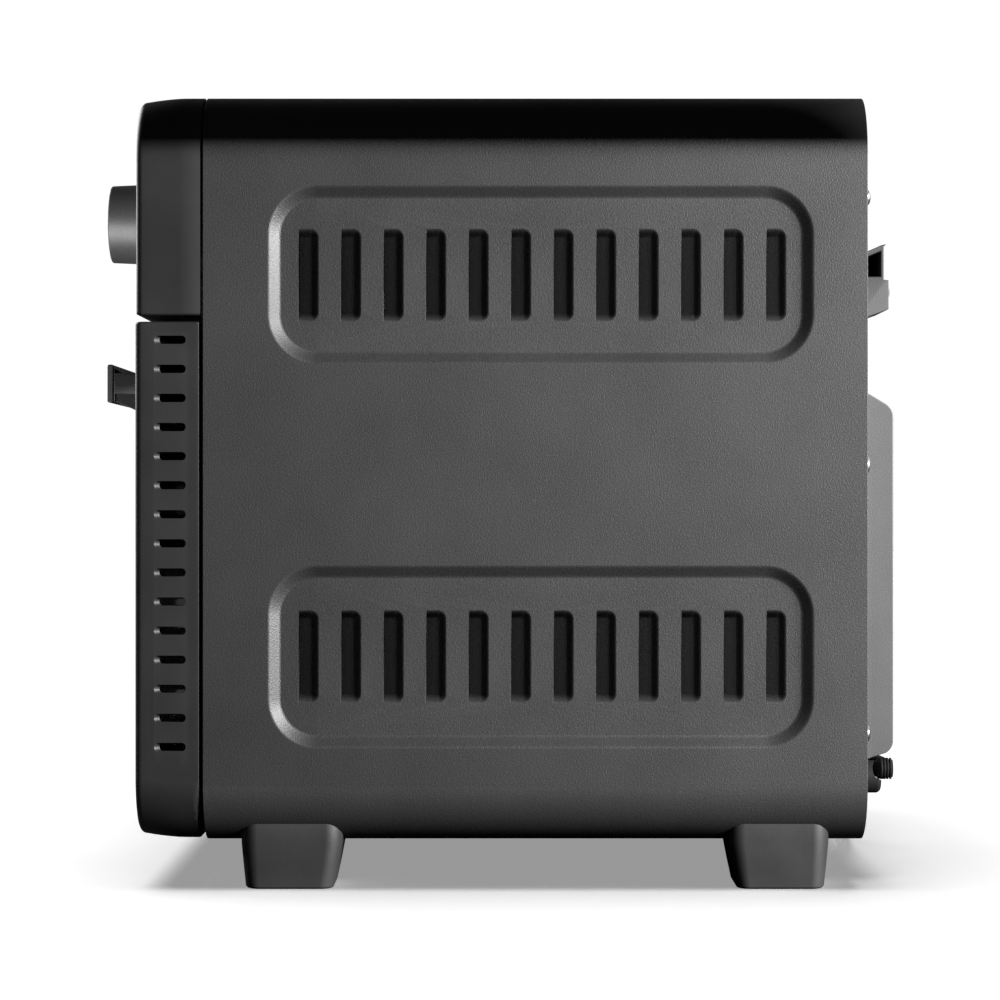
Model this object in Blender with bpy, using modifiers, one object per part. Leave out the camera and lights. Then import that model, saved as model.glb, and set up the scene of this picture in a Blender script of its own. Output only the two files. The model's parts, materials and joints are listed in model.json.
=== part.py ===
"""A countertop convection toaster oven, built the way it comes apart on a bench.

Frame: metres, +Z up, the front door faces -Y, and the origin is on the floor under the middle of the
oven's box. The drop-down door turns about a low axis, the wire rack slides out with it, three control
knobs turn their shafts, and a fan turns under the oven ceiling.
"""

import math

import bmesh
import bpy
from mathutils import Matrix, Vector

OBJECT_NAME = "toaster_oven"

# Overall size
WIDTH = 0.400
HEIGHT = 0.375
DEPTH = 0.3863
FRONT_Y = -DEPTH / 2
REAR_Y = DEPTH / 2
SIDE_X = WIDTH / 2

# Clearance between solids that touch
GAP = 0.0003

# Body shell
HANDLE_REACH = 0.0245
DOOR_DEPTH = 0.03005
DOOR_SEAM = 0.0019
DOOR_FACE_Y = FRONT_Y + HANDLE_REACH
DOOR_REAR_Y = DOOR_FACE_Y + DOOR_DEPTH
PANEL_FACE_Y = DOOR_FACE_Y + 0.0005
BODY_FRONT_Y = DOOR_REAR_Y + DOOR_SEAM
REAR_COVER_DEPTH = 0.0182
BODY_REAR_Y = REAR_Y - REAR_COVER_DEPTH - GAP
BODY_MIDDLE_Y = (BODY_FRONT_Y + BODY_REAR_Y) / 2
BODY_BOTTOM = 0.022
CORNER_RADIUS = 0.029
SHEET = 0.0012
INWARD = -1.0
FLANGE_X = 0.150
CORNER_NOTCH = {"inner_x": 0.170, "depth": 0.0018, "top": 0.0315}

# Pressed vent fields in both sides
VENT_FRONT_Y = -0.1065
VENT_REAR_Y = 0.1498
VENT_HEIGHTS = ((0.0670, 0.1531), (0.2470, 0.3311))
VENT_CORNER = 0.0234
VENT_SLOPE = 0.0064
VENT_DEPTH = 0.0035
LOUVRE_COUNT = 12
LOUVRE_FIRST_Y = -0.0921
LOUVRE_PITCH = 0.01994
LOUVRE_LENGTH = 0.0094
LOUVRE_HEIGHT = 0.0440
LOUVRE_BEND_RADIUS = 0.0024
LOUVRE_DROP = 0.0032

# Control panel and its knobs
PANEL_BOTTOM = 0.2699
PANEL_WALL = 0.0025
FACE_DROP = 0.0019
KNOB_XS = {"temperature": -0.130, "function": 0.0, "timer": 0.130}
KNOB_Z = 0.3187
KNOB_RADIUS = 0.0195
KNOB_LENGTH = 0.0212
SHAFT_RADIUS = 0.003
LENS_X = 0.065
LENS_Z = 0.346
LENS_RADIUS = 0.0035

# Door
DOOR_HALF_WIDTH = 0.1995
DOOR_BOTTOM = 0.0226
DOOR_TOP = 0.2671
DOOR_WALL = 0.0016
DOOR_FACE_WALL = 0.0025
WINDOW_HALF_WIDTH = 0.145
WINDOW_BOTTOM = 0.070
WINDOW_TOP = 0.212
WINDOW_RADIUS = 0.012
GLASS = 0.004
SLOT_COUNT = 15
SLOT_TOP_Z = 0.2585
SLOT_PITCH = 0.01362
SLOT_FRONT_Y = -0.1596
SLOT_REAR_Y = -0.1448
SLOT_HEIGHT = 0.0038

# Hinge
HINGE_Y = DOOR_REAR_Y - 0.00495
HINGE_Z = 0.029
PIN_RADIUS = 0.0018
PIN_INNER_X = 0.146
PIN_OUTER_X = 0.171
ARM_X = 0.1630
ARM_THICKNESS = 0.0025
BOSS_XS = ((0.1560, 0.1618), (0.1668, 0.1706))
KNUCKLE_RADIUS = 0.0038
SPRING_WIRE = 0.00045
SPRING_RADIUS = 0.0026
SPRING_TURNS = 5
SPRING_LENGTH = 0.0072

# Handle
HANDLE_HALF_LENGTH = 0.110
BAR_THICKNESS = 0.003
BAR_BOTTOM = 0.232
BAR_TOP = 0.251
BRACKET_WIDTH = 0.014

# Oven cavity
CAVITY_X = 0.160
CAVITY_BOTTOM = 0.046
CAVITY_TOP = 0.250
CAVITY_FRONT_Y = BODY_FRONT_Y + 0.0031
CAVITY_REAR_Y = 0.148
RAIL_REACH = 0.010
RAIL_HEIGHT = 0.003
RAIL_TOPS = (0.0950, 0.1250, 0.1550)
ELEMENT_RADIUS = 0.004
ELEMENT_YS = (-0.078, 0.092)
ELEMENT_ZS = {"lower": 0.064, "upper": 0.233}

# Fan under the cavity ceiling
FAN_Y = 0.007
FAN_RADIUS = 0.052
FAN_Z = 0.239
MOTOR_RADIUS = 0.030

# Rack and crumb tray
RACK_X = 0.1545
RACK_FRONT_Y = -0.121
RACK_REAR_Y = 0.128
RACK_ROD = 0.002
RACK_WIRE = 0.0013
RACK_WIRES = 13

# Feet
FOOT_TOP = 0.048
FOOT_Y_OFFSET = 0.1148
FOOT_CENTRE_X = 0.1685
FOOT_RISE = 0.032

# Rear cover, wall spacers and screws
COVER_HALF_WIDTH = 0.150
COVER_BOTTOM = 0.055
COVER_TOP = 0.2385
COVER_WALL = 0.0015
SPACER_CENTRE_X = 0.125
SPACER_HALF_WIDTH = 0.025
BUMPER_Z = 0.285
BUMPER_RADIUS = 0.0045
SCREW_X = 0.1905
SCREW_HEIGHTS = (0.0735, 0.200, 0.326)
SCREW_RADIUS = 0.0038

# Power cord
GLAND_X = 0.150
GLAND_Z = 0.0495
GLAND_RADIUS = 0.008
GLAND_NECK = GLAND_RADIUS * 0.8
RELIEF_Y = 0.1878
RELIEF_Z = 0.0535
RELIEF_NEAR_X = 0.156
RELIEF_FAR_X = 0.112
CORD_RADIUS = 0.0035
COIL_CENTRE = (-0.258, 0.140)
COIL_RADIUS = 0.0385
COIL_LAYERS = 2
PLUG_Z = 0.0108
# The cord's way from the strain relief, down to the floor behind the oven and up to its coil
CORD_ROUTE = (
    (0.1117, 0.1878, 0.0535),
    (0.1000, 0.1878, 0.0533),
    (0.0880, 0.1879, 0.0520),
    (0.0760, 0.1880, 0.0490),
    (0.0630, 0.1881, 0.0440),
    (0.0480, 0.1882, 0.0365),
    (0.0320, 0.1883, 0.0275),
    (0.0150, 0.1884, 0.0185),
    (-0.0030, 0.1885, 0.0105),
    (-0.0220, 0.1887, 0.0055),
    (-0.0420, 0.1888, 0.0039),
    (-0.0700, 0.1890, 0.0038),
    (-0.1000, 0.1892, 0.0038),
    (-0.1300, 0.1890, 0.0038),
    (-0.1600, 0.1878, 0.0038),
    (-0.1880, 0.1853, 0.0038),
    (-0.2120, 0.1820, 0.0038),
    (-0.2345, 0.1788, 0.0038),
)

AXIS_TURNS = {
    "X": (math.pi / 2, 0.0, math.pi / 2),
    "Y": (math.pi / 2, 0.0, 0.0),
    "Z": (0.0, 0.0, 0.0),
}


def clear_scene():
    for obj in list(bpy.data.objects):
        bpy.data.objects.remove(obj, do_unlink=True)


def new_collection(name, hidden=False):
    collection = bpy.data.collections.new(name)
    bpy.context.scene.collection.children.link(collection)
    collection.hide_render = hidden
    return collection


def material(name, colour, roughness, metallic=0.0):
    made = bpy.data.materials.new(name)
    made.use_nodes = True
    shader = made.node_tree.nodes["Principled BSDF"]
    shader.inputs["Base Color"].default_value = (*colour, 1.0)
    shader.inputs["Roughness"].default_value = roughness
    shader.inputs["Metallic"].default_value = metallic
    return made


# ---------------------------------------------------------------- general shapes


def across(axis, along, u, v):
    """The point (u, v) of an outline that lies in the plane at `along` on that axis."""
    if axis == "X":
        return Vector((along, u, v))
    if axis == "Y":
        return Vector((u, along, v))
    return Vector((u, v, along))


def rounded_rectangle(left, right, bottom, top, radii, steps):
    """An anticlockwise outline. radii and steps go bottom right, top right, top left, bottom left."""
    corners = (
        (right, bottom, -1, 1, -90),
        (right, top, -1, -1, 0),
        (left, top, 1, -1, 90),
        (left, bottom, 1, 1, 180),
    )
    points = []
    for (x, y, inward_x, inward_y, start), radius, count in zip(corners, radii, steps):
        for i in range(count + 1):
            angle = math.radians(start + 90 * i / count)
            points.append(
                (
                    x + inward_x * radius + radius * math.cos(angle),
                    y + inward_y * radius + radius * math.sin(angle),
                )
            )
    return points


def even_rectangle(left, right, bottom, top, radius, steps=4):
    return rounded_rectangle(left, right, bottom, top, (radius,) * 4, (steps,) * 4)


def circle_outline(u, v, radius, count=16):
    turns = [2 * math.pi * i / count for i in range(count)]
    return [(u + radius * math.cos(a), v + radius * math.sin(a)) for a in turns]


def finish(name, data, paint, collection):
    obj = bpy.data.objects.new(name, data)
    if paint:
        data.materials.append(paint)
    else:
        obj.hide_render = True
        obj.display_type = "WIRE"
    collection.objects.link(obj)
    return obj


def mesh_object(name, bm, paint, collection, smooth=False):
    """Turns a bmesh into an object. One with no paint is a cutter."""
    bmesh.ops.recalc_face_normals(bm, faces=bm.faces)
    mesh = bpy.data.meshes.new(name)
    bm.to_mesh(mesh)
    bm.free()
    if smooth:
        mesh.shade_smooth()
        mesh.set_sharp_from_angle(angle=math.radians(35))
    return finish(name, mesh, paint, collection)


def add_loft(bm, axis, sections):
    """Adds a closed solid through matching outlines: sections holds (place on the axis, outline)."""
    rings = []
    for along, outline in sections:
        rings.append([bm.verts.new(across(axis, along, u, v)) for u, v in outline])
    for near, far in zip(rings, rings[1:]):
        for i, corner in enumerate(near):
            j = (i + 1) % len(near)
            bm.faces.new((corner, near[j], far[j], far[i]))
    bm.faces.new(rings[0])
    bm.faces.new(rings[-1][::-1])


def loft(name, axis, sections, paint, collection, smooth=True):
    bm = bmesh.new()
    add_loft(bm, axis, sections)
    return mesh_object(name, bm, paint, collection, smooth)


def prism(name, axis, low, high, outline, paint, collection):
    return loft(name, axis, ((low, outline), (high, outline)), paint, collection)


def prisms(name, axis, parts, paint, collection):
    """Several prisms in one object: parts holds (low, high, outline)."""
    bm = bmesh.new()
    for low, high, outline in parts:
        add_loft(bm, axis, ((low, outline), (high, outline)))
    return mesh_object(name, bm, paint, collection)


def add_box(bm, low, high):
    low = Vector(low)
    high = Vector(high)
    size = high - low
    place = Matrix.Translation((low + high) / 2) @ Matrix.Diagonal((*size, 1.0))
    bmesh.ops.create_cube(bm, size=1.0, matrix=place)


def box(name, low, high, paint, collection, bevel=0.0):
    bm = bmesh.new()
    add_box(bm, low, high)
    obj = mesh_object(name, bm, paint, collection, smooth=bevel > 0)
    if bevel:
        rounding = obj.modifiers.new("rounded_edges", "BEVEL")
        rounding.width = bevel
        rounding.segments = 2
    return obj


def boxes(name, pairs, collection):
    """A cutter made of several boxes: pairs holds (low corner, high corner)."""
    bm = bmesh.new()
    for low, high in pairs:
        add_box(bm, low, high)
    return mesh_object(name, bm, None, collection)


def add_rod(bm, start, end, radius, sides=12):
    start = Vector(start)
    way = Vector(end) - start
    turn = way.to_track_quat("Z", "Y").to_matrix().to_4x4()
    place = Matrix.Translation(start + way / 2) @ turn
    bmesh.ops.create_cone(
        bm,
        cap_ends=True,
        segments=sides,
        radius1=radius,
        radius2=radius,
        depth=way.length,
        matrix=place,
    )


def rod(name, start, end, radius, paint, collection, sides=16):
    bm = bmesh.new()
    add_rod(bm, start, end, radius, sides)
    return mesh_object(name, bm, paint, collection, smooth=True)


def plate(name, axis, low, high, outlines, paint, collection):
    """A flat sheet: the first outline is its edge, and the others are holes through it."""
    curve = bpy.data.curves.new(name, "CURVE")
    curve.dimensions = "2D"
    curve.fill_mode = "BOTH"
    curve.extrude = (high - low) / 2
    for outline in outlines:
        spline = curve.splines.new("POLY")
        spline.points.add(len(outline) - 1)
        spline.use_cyclic_u = True
        for point, (u, v) in zip(spline.points, outline):
            point.co = (u, v, 0.0, 1.0)
    obj = finish(name, curve, paint, collection)
    obj.rotation_euler = AXIS_TURNS[axis]
    obj.location = across(axis, (low + high) / 2, 0.0, 0.0)
    return obj


def turned(name, profile, place, axis, paint, collection, steps=24):
    """A lathe-turned solid. profile holds (radius, height) points from its far end to its near end."""
    bm = bmesh.new()
    points = [bm.verts.new((radius, 0.0, height)) for radius, height in profile]
    for first, second in zip(points, points[1:]):
        bm.edges.new((first, second))
    mesh = bpy.data.meshes.new(name)
    bm.to_mesh(mesh)
    bm.free()
    obj = finish(name, mesh, paint, collection)
    obj.location = place
    obj.rotation_euler = Vector(axis).to_track_quat("Z", "Y").to_euler()
    screw = obj.modifiers.new("turned", "SCREW")
    screw.axis = "Z"
    screw.angle = 2 * math.pi
    screw.steps = steps
    screw.render_steps = steps
    screw.use_merge_vertices = True
    screw.merge_threshold = 0.00001
    screw.use_smooth_shade = True
    return obj


def tube(name, points, radius, paint, collection, sides=2, cyclic=False):
    curve = bpy.data.curves.new(name, "CURVE")
    curve.dimensions = "3D"
    curve.bevel_depth = radius
    curve.bevel_resolution = sides
    curve.use_fill_caps = not cyclic
    spline = curve.splines.new("POLY")
    spline.points.add(len(points) - 1)
    spline.use_cyclic_u = cyclic
    for control, point in zip(spline.points, points):
        control.co = (*point, 1.0)
    return finish(name, curve, paint, collection)


def as_mesh(obj):
    """Replaces a curve by the welded mesh of the same shape, so that a Boolean can use it."""
    graph = bpy.context.evaluated_depsgraph_get()
    mesh = bpy.data.meshes.new_from_object(obj.evaluated_get(graph))
    bm = bmesh.new()
    bm.from_mesh(mesh)
    bmesh.ops.remove_doubles(bm, verts=bm.verts, dist=0.000002)
    bmesh.ops.recalc_face_normals(bm, faces=bm.faces)
    bm.to_mesh(mesh)
    bm.free()
    made = bpy.data.objects.new(obj.name + "_mesh", mesh)
    made.matrix_world = obj.matrix_world
    made.hide_render = obj.hide_render
    made.display_type = obj.display_type
    for collection in obj.users_collection:
        collection.objects.link(made)
    name = obj.name
    bpy.data.objects.remove(obj)
    made.name = name
    return made


def combine(target, operand, operation):
    boolean = target.modifiers.new(operand.name, "BOOLEAN")
    boolean.operation = operation
    boolean.solver = "EXACT"
    boolean.object = operand


def cut(target, cutter):
    combine(target, cutter, "DIFFERENCE")


def join(target, extra):
    combine(target, extra, "UNION")


def pivot(name, place, collection, members):
    """An empty on a joint's axis, which carries the pieces that move about it."""
    empty = bpy.data.objects.new(name, None)
    empty.empty_display_size = 0.03
    empty.location = place
    collection.objects.link(empty)
    bpy.context.view_layer.update()
    for member in members:
        member.parent = empty
        member.matrix_parent_inverse = empty.matrix_world.inverted()


# ---------------------------------------------------------------- body shell


def body_outline(inset, steps=8):
    radius = CORNER_RADIUS - inset
    return rounded_rectangle(
        -SIDE_X + inset,
        SIDE_X - inset,
        BODY_BOTTOM + inset,
        HEIGHT - inset,
        (radius,) * 4,
        (steps,) * 4,
    )


def vent_outline(bottom, top, inset, steps=6):
    return even_rectangle(
        VENT_FRONT_Y + inset,
        VENT_REAR_Y - inset,
        bottom + inset,
        top - inset,
        VENT_CORNER - inset,
        steps,
    )


def vent_fields(name, depths, cutters):
    """Four tapered blocks, two in each side: depths holds (depth below the side, inset)."""
    bm = bmesh.new()
    for side in (-1, 1):
        for bottom, top in VENT_HEIGHTS:
            sections = []
            for depth, inset in depths:
                sections.append((side * (SIDE_X - depth), vent_outline(bottom, top, inset)))
            add_loft(bm, "X", sections)
    return mesh_object(name, bm, None, cutters)


def louvre_places():
    """(side, front edge y, bottom z, top z) of each louvre."""
    places = []
    for side in (-1, 1):
        for bottom, top in VENT_HEIGHTS:
            middle = (bottom + top) / 2
            for i in range(LOUVRE_COUNT):
                y = LOUVRE_FIRST_Y + i * LOUVRE_PITCH
                places.append((side, y, middle - LOUVRE_HEIGHT / 2, middle + LOUVRE_HEIGHT / 2))
    return places


def louvre_slots(cutters):
    square = 0.0003
    bend = LOUVRE_BEND_RADIUS
    floor_x = SIDE_X - VENT_DEPTH
    parts = []
    for side, y, bottom, top in louvre_places():
        outline = rounded_rectangle(
            y, y + LOUVRE_LENGTH, bottom, top, (bend, bend, square, square), (2, 2, 1, 1)
        )
        ends = sorted((side * (floor_x - 0.003), side * (floor_x + 0.002)))
        parts.append((*ends, outline))
    return prisms("louvre_slots", "X", parts, None, cutters)


def louvre_tongues(cutters):
    """The pressed tongues: each is bent inwards from its rear edge, and open at its front edge."""
    end_gap = 0.0005
    root = 0.0006
    skin = 0.0010
    floor_x = SIDE_X - VENT_DEPTH - 0.0001
    parts = []
    for side, y, bottom, top in louvre_places():
        rear = y + LOUVRE_LENGTH + root
        front = y + 0.0004
        outline = (
            (side * floor_x, rear),
            (side * (floor_x - LOUVRE_DROP), front),
            (side * (floor_x - LOUVRE_DROP - skin), front),
            (side * (floor_x - skin), rear),
        )
        parts.append((bottom + end_gap, top - end_gap, outline))
    return prisms("louvre_tongues", "Z", parts, None, cutters)


def outer_wrap(paint, parts, cutters):
    """One sheet folded round the top, the sides and the rounded lower edges, open underneath."""
    ring = body_outline(0.0)
    profile = [(FLANGE_X, BODY_BOTTOM), *ring, (-FLANGE_X, BODY_BOTTOM)]
    bm = bmesh.new()
    edge = [bm.verts.new((x, BODY_FRONT_Y, z)) for x, z in profile]
    for first, second in zip(edge, edge[1:]):
        bm.edges.new((first, second))
    swept = bmesh.ops.extrude_edge_only(bm, edges=bm.edges[:])
    moved = [item for item in swept["geom"] if isinstance(item, bmesh.types.BMVert)]
    bmesh.ops.translate(bm, verts=moved, vec=(0.0, BODY_REAR_Y - BODY_FRONT_Y, 0.0))
    wrap = mesh_object("outer_wrap", bm, paint, parts, smooth=True)
    sheet = wrap.modifiers.new("sheet", "SOLIDIFY")
    sheet.thickness = SHEET
    sheet.offset = INWARD
    sheet.use_even_offset = True
    backs = vent_fields(
        "vent_backs",
        ((0.0010, -0.0004), (VENT_DEPTH + SHEET, VENT_SLOPE - 0.0007)),
        cutters,
    )
    overshoot = 0.0005
    growth = overshoot * VENT_SLOPE / VENT_DEPTH
    pockets = vent_fields(
        "vent_pockets", ((-overshoot, -growth), (VENT_DEPTH, VENT_SLOPE)), cutters
    )
    notch_pairs = []
    for side in (-1, 1):
        ends = sorted((side * CORNER_NOTCH["inner_x"], side * (SIDE_X + 0.040)))
        low = (ends[0], BODY_FRONT_Y - 0.001, BODY_BOTTOM - 0.007)
        high = (ends[1], BODY_FRONT_Y + CORNER_NOTCH["depth"], CORNER_NOTCH["top"])
        notch_pairs.append((low, high))
    corner_notch = boxes("hinge_corner_notches", notch_pairs, cutters)
    join(wrap, backs)
    cut(wrap, pockets)
    cut(wrap, louvre_slots(cutters))
    join(wrap, louvre_tongues(cutters))
    cut(wrap, corner_notch)
    return wrap


def base_plate(paint, parts):
    """The plate that closes the body underneath, with a column of cooling slots."""
    half_width = 0.165
    slot_half_length = 0.045
    slot_width = 0.006
    holes = []
    for row in range(6):
        y = -0.060 + row * 0.024
        ends = (-slot_half_length, slot_half_length)
        holes.append(even_rectangle(*ends, y, y + slot_width, 0.0020, 1))
    front = CAVITY_FRONT_Y + 0.002
    edge = even_rectangle(-half_width, half_width, front, BODY_REAR_Y - 0.0025, 0.004, 2)
    low = BODY_BOTTOM + SHEET + GAP
    return plate("base_plate", "Z", low, low + SHEET, [edge, *holes], paint, parts)


def rear_panel(paint, parts):
    """The plate that closes the body behind, with the gland's hole and three rows of slots."""
    edge = body_outline(SHEET + GAP, 6)
    holes = [circle_outline(GLAND_X, GLAND_Z, GLAND_NECK + GAP, 16)]
    half_slot = 0.012
    slot_height = 0.005
    columns = 7
    for row in range(3):
        z = 0.322 + row * 0.012
        for column in range(columns):
            x = (column - (columns - 1) / 2) * 0.032
            holes.append(even_rectangle(x - half_slot, x + half_slot, z, z + slot_height, 0.0015, 1))
    high = BODY_REAR_Y - 0.0002
    return plate("rear_panel", "Y", high - 0.0012, high, [edge, *holes], paint, parts)


def cover_profile(wall):
    """The rear cover seen from the side, as (y, z) points, drawn in by the wall's thickness."""
    base = BODY_REAR_Y + GAP
    back = REAR_Y - wall
    low = COVER_BOTTOM + wall
    high = COVER_TOP - wall
    points = [(base, low), (base + 0.0085, low + 0.0040)]
    bend = 0.0070
    for centre_z, start in ((low + 0.0120, -62), (high - 0.0145, 0)):
        for i in range(6):
            angle = math.radians(start + 62 * i / 5)
            points.append((back - bend + bend * math.cos(angle), centre_z + bend * math.sin(angle)))
    points += [(base + 0.0085, high - 0.0047), (base, high)]
    return points


def rear_cover(paint, parts, cutters):
    """A pressed cover over the wiring and the air duct behind the oven, open towards the panel."""
    outer = cover_profile(0.0)
    inner = cover_profile(COVER_WALL)
    inner[0] = (inner[0][0] - 0.003, inner[0][1])
    inner[-1] = (inner[-1][0] - 0.003, inner[-1][1])
    cover = prism("rear_cover", "X", -COVER_HALF_WIDTH, COVER_HALF_WIDTH, outer, paint, parts)
    reach = COVER_HALF_WIDTH - COVER_WALL
    cut(cover, prism("rear_cover_hollow", "X", -reach, reach, inner, None, cutters))
    slots = []
    half_slot = 0.028
    slot_height = 0.005
    for row in range(5):
        z = 0.118 + row * 0.014
        for x in (-0.080, 0.0, 0.080):
            outline = even_rectangle(x - half_slot, x + half_slot, z, z + slot_height, 0.0015, 1)
            slots.append((REAR_Y - 0.004, REAR_Y + 0.002, outline))
    cut(cover, prisms("rear_cover_slots", "Y", slots, None, cutters))
    gland_recess = rod(
        "gland_recess",
        (GLAND_X, BODY_REAR_Y - 0.001, GLAND_Z),
        (GLAND_X, REAR_Y + 0.001, GLAND_Z),
        GLAND_RADIUS + 0.0006,
        None,
        cutters,
        24,
    )
    cut(cover, gland_recess)
    return cover


def spacer_outline():
    """The wall spacer seen from the side: a block with a raised prong that keeps a wound lead on."""
    base = BODY_REAR_Y + GAP
    block = BODY_REAR_Y + 0.0163
    prong = BODY_REAR_Y + 0.0139
    return (
        (base, 0.2703),
        (block, 0.2760),
        (block, 0.2901),
        (prong, 0.2903),
        (prong, 0.3065),
        (prong + 0.0012, 0.3076),
        (prong - 0.0014, 0.3070),
        (base, 0.3015),
    )


def wall_spacer(side, paint, parts, cutters):
    name = {-1: "left", 1: "right"}[side]
    low = side * SPACER_CENTRE_X - SPACER_HALF_WIDTH
    high = side * SPACER_CENTRE_X + SPACER_HALF_WIDTH
    spacer = prism("wall_spacer_" + name, "X", low, high, spacer_outline(), paint, parts)
    near = low - 0.002 if side < 0 else high + 0.002
    far = side * (SPACER_CENTRE_X - SPACER_HALF_WIDTH + 0.006)
    base = BODY_REAR_Y + 0.0014
    pocket = ((base, 0.2918), (base + 0.0110, 0.2918), (base + 0.0110, 0.3040), (base, 0.2995))
    ends = sorted((near, far))
    cut(spacer, prism("spacer_pocket_" + name, "X", *ends, pocket, None, cutters))
    return spacer


def bumper(side, paint, parts):
    name = {-1: "left", 1: "right"}[side]
    base = BODY_REAR_Y + 0.0163 + GAP
    dome = [(0.0, 0.0018), (0.0018, 0.00165), (0.0034, 0.0011), (BUMPER_RADIUS, 0.0), (0.0, 0.0)]
    place = (side * (SPACER_CENTRE_X + 0.010), base, BUMPER_Z)
    return turned("bumper_" + name, dome, place, (0, 1, 0), paint, parts, 16)


def rear_screw(side, index, paint, parts):
    name = {-1: "left", 1: "right"}[side] + "_" + str(index + 1)
    radius = SCREW_RADIUS
    dome = [
        (0.0, 0.0021),
        (radius * 0.45, 0.00195),
        (radius * 0.8, 0.0014),
        (radius, 0.0005),
        (radius, 0.0),
        (0.0, 0.0),
    ]
    place = (side * SCREW_X, BODY_REAR_Y + GAP, SCREW_HEIGHTS[index])
    return turned("rear_screw_" + name, dome, place, (0, 1, 0), paint, parts, 12)


def foot(side_x, side_y, paint, parts, body_space):
    """A tapered moulded foot, whose top is shaped to the rounded lower edge of the body."""
    name = {-1: "front", 1: "rear"}[side_y] + "_" + {-1: "left", 1: "right"}[side_x]
    middle = BODY_MIDDLE_Y + side_y * FOOT_Y_OFFSET
    half = FOOT_TOP / 2
    sections = []
    for z, outer, inner, x_outer, x_inner, radius in (
        (0.0, half - 0.0026, half - 0.0048, 0.0212, 0.0205, 0.0060),
        (0.0012, half - 0.0020, half - 0.0042, 0.0218, 0.0211, 0.0066),
        (BODY_BOTTOM, half, half, 0.0240, 0.0240, 0.0080),
        (FOOT_RISE, half, half, 0.0240, 0.0240, 0.0080),
    ):
        y_ends = sorted((middle + side_y * outer, middle - side_y * inner))
        x_ends = sorted(
            (side_x * (FOOT_CENTRE_X + x_outer), side_x * (FOOT_CENTRE_X - x_inner))
        )
        sections.append((z, even_rectangle(*x_ends, *y_ends, radius, 4)))
    made = loft("foot_" + name, "Z", sections, paint, parts)
    cut(made, body_space)
    return made


# ---------------------------------------------------------------- front: panel, knobs and door


def panel_outline(inset, drop=0.0):
    top = HEIGHT - drop - inset
    crown = CORNER_RADIUS - inset
    small = 0.0012
    return rounded_rectangle(
        -SIDE_X + inset,
        SIDE_X - inset,
        PANEL_BOTTOM + inset,
        top,
        (small, crown, crown, small),
        (2, 8, 8, 2),
    )


def control_panel(paint, parts, cutters):
    face = PANEL_FACE_Y
    rear = BODY_FRONT_Y - GAP
    sections = (
        (rear, panel_outline(0.0)),
        (face + 0.0211, panel_outline(0.0)),
        (face + 0.0036, panel_outline(0.0, FACE_DROP * 0.8)),
        (face + 0.0012, panel_outline(0.0008, FACE_DROP)),
        (face, panel_outline(0.0030, FACE_DROP)),
    )
    panel = loft("control_panel", "Y", sections, paint, parts)
    wall = PANEL_WALL
    hollow = (
        (face + wall, panel_outline(wall + 0.0015, FACE_DROP)),
        (face + 0.0211, panel_outline(wall)),
        (rear + 0.002, panel_outline(wall)),
    )
    cut(panel, loft("panel_hollow", "Y", hollow, None, cutters))
    bm = bmesh.new()
    for x in KNOB_XS.values():
        add_rod(bm, (x, face - 0.002, KNOB_Z), (x, face + 0.006, KNOB_Z), SHAFT_RADIUS + GAP, 16)
    add_rod(bm, (LENS_X, face - 0.002, LENS_Z), (LENS_X, face + 0.006, LENS_Z), LENS_RADIUS + GAP, 16)
    cut(panel, mesh_object("panel_holes", bm, None, cutters))
    return panel


def knob(name, paint, parts, cutters):
    """A turned knob with a slight draft, a rounded front edge and a blind bore for its shaft."""
    radius = KNOB_RADIUS
    length = KNOB_LENGTH
    profile = [(0.0, length), (radius - 0.0034, length)]
    for i in range(4):
        angle = math.radians(72 - 24 * i)
        profile.append(
            (radius - 0.0024 + 0.0018 * math.cos(angle), length - 0.0018 + 0.0018 * math.sin(angle))
        )
    profile += [(radius, 0.0012), (radius - 0.0004, GAP), (0.0, GAP)]
    place = (KNOB_XS[name], PANEL_FACE_Y, KNOB_Z)
    made = turned("knob_" + name, profile, place, (0, -1, 0), paint, parts, 28)
    bore = rod(
        "knob_bore_" + name,
        (place[0], place[1] + 0.001, place[2]),
        (place[0], place[1] - 0.014, place[2]),
        SHAFT_RADIUS + GAP,
        None,
        cutters,
    )
    cut(made, bore)
    return made, bore


def knob_shaft(name, paint, parts):
    x = KNOB_XS[name]
    start = (x, PANEL_FACE_Y - 0.0136, KNOB_Z)
    return rod("shaft_" + name, start, (x, PANEL_FACE_Y + 0.014, KNOB_Z), SHAFT_RADIUS, paint, parts)


def control_unit(name, outline, depth, paint, parts, cutters):
    """The switch, thermostat or timer behind a knob, with a blind bore that its shaft turns in."""
    x = KNOB_XS[name]
    low = PANEL_FACE_Y + PANEL_WALL + GAP
    labels = {"temperature": "thermostat", "function": "function_switch", "timer": "timer"}
    unit = prism(labels[name], "Y", low, low + depth, outline, paint, parts)
    bore = rod(
        "bore_" + labels[name],
        (x, low - 0.002, KNOB_Z),
        (x, PANEL_FACE_Y + 0.0143, KNOB_Z),
        SHAFT_RADIUS + GAP,
        None,
        cutters,
    )
    cut(unit, bore)
    return unit


def control_units(paint, parts, cutters):
    half = 0.016
    x = KNOB_XS["temperature"]
    square = even_rectangle(x - half, x + half, KNOB_Z - half, KNOB_Z + half, 0.003, 2)
    control_unit("temperature", square, 0.026, paint, parts, cutters)
    x = KNOB_XS["function"]
    wide = even_rectangle(x - 0.020, x + 0.020, KNOB_Z - half, KNOB_Z + half, 0.003, 2)
    control_unit("function", wide, 0.022, paint, parts, cutters)
    round_case = circle_outline(KNOB_XS["timer"], KNOB_Z, 0.024, 24)
    control_unit("timer", round_case, 0.034, paint, parts, cutters)


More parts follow.
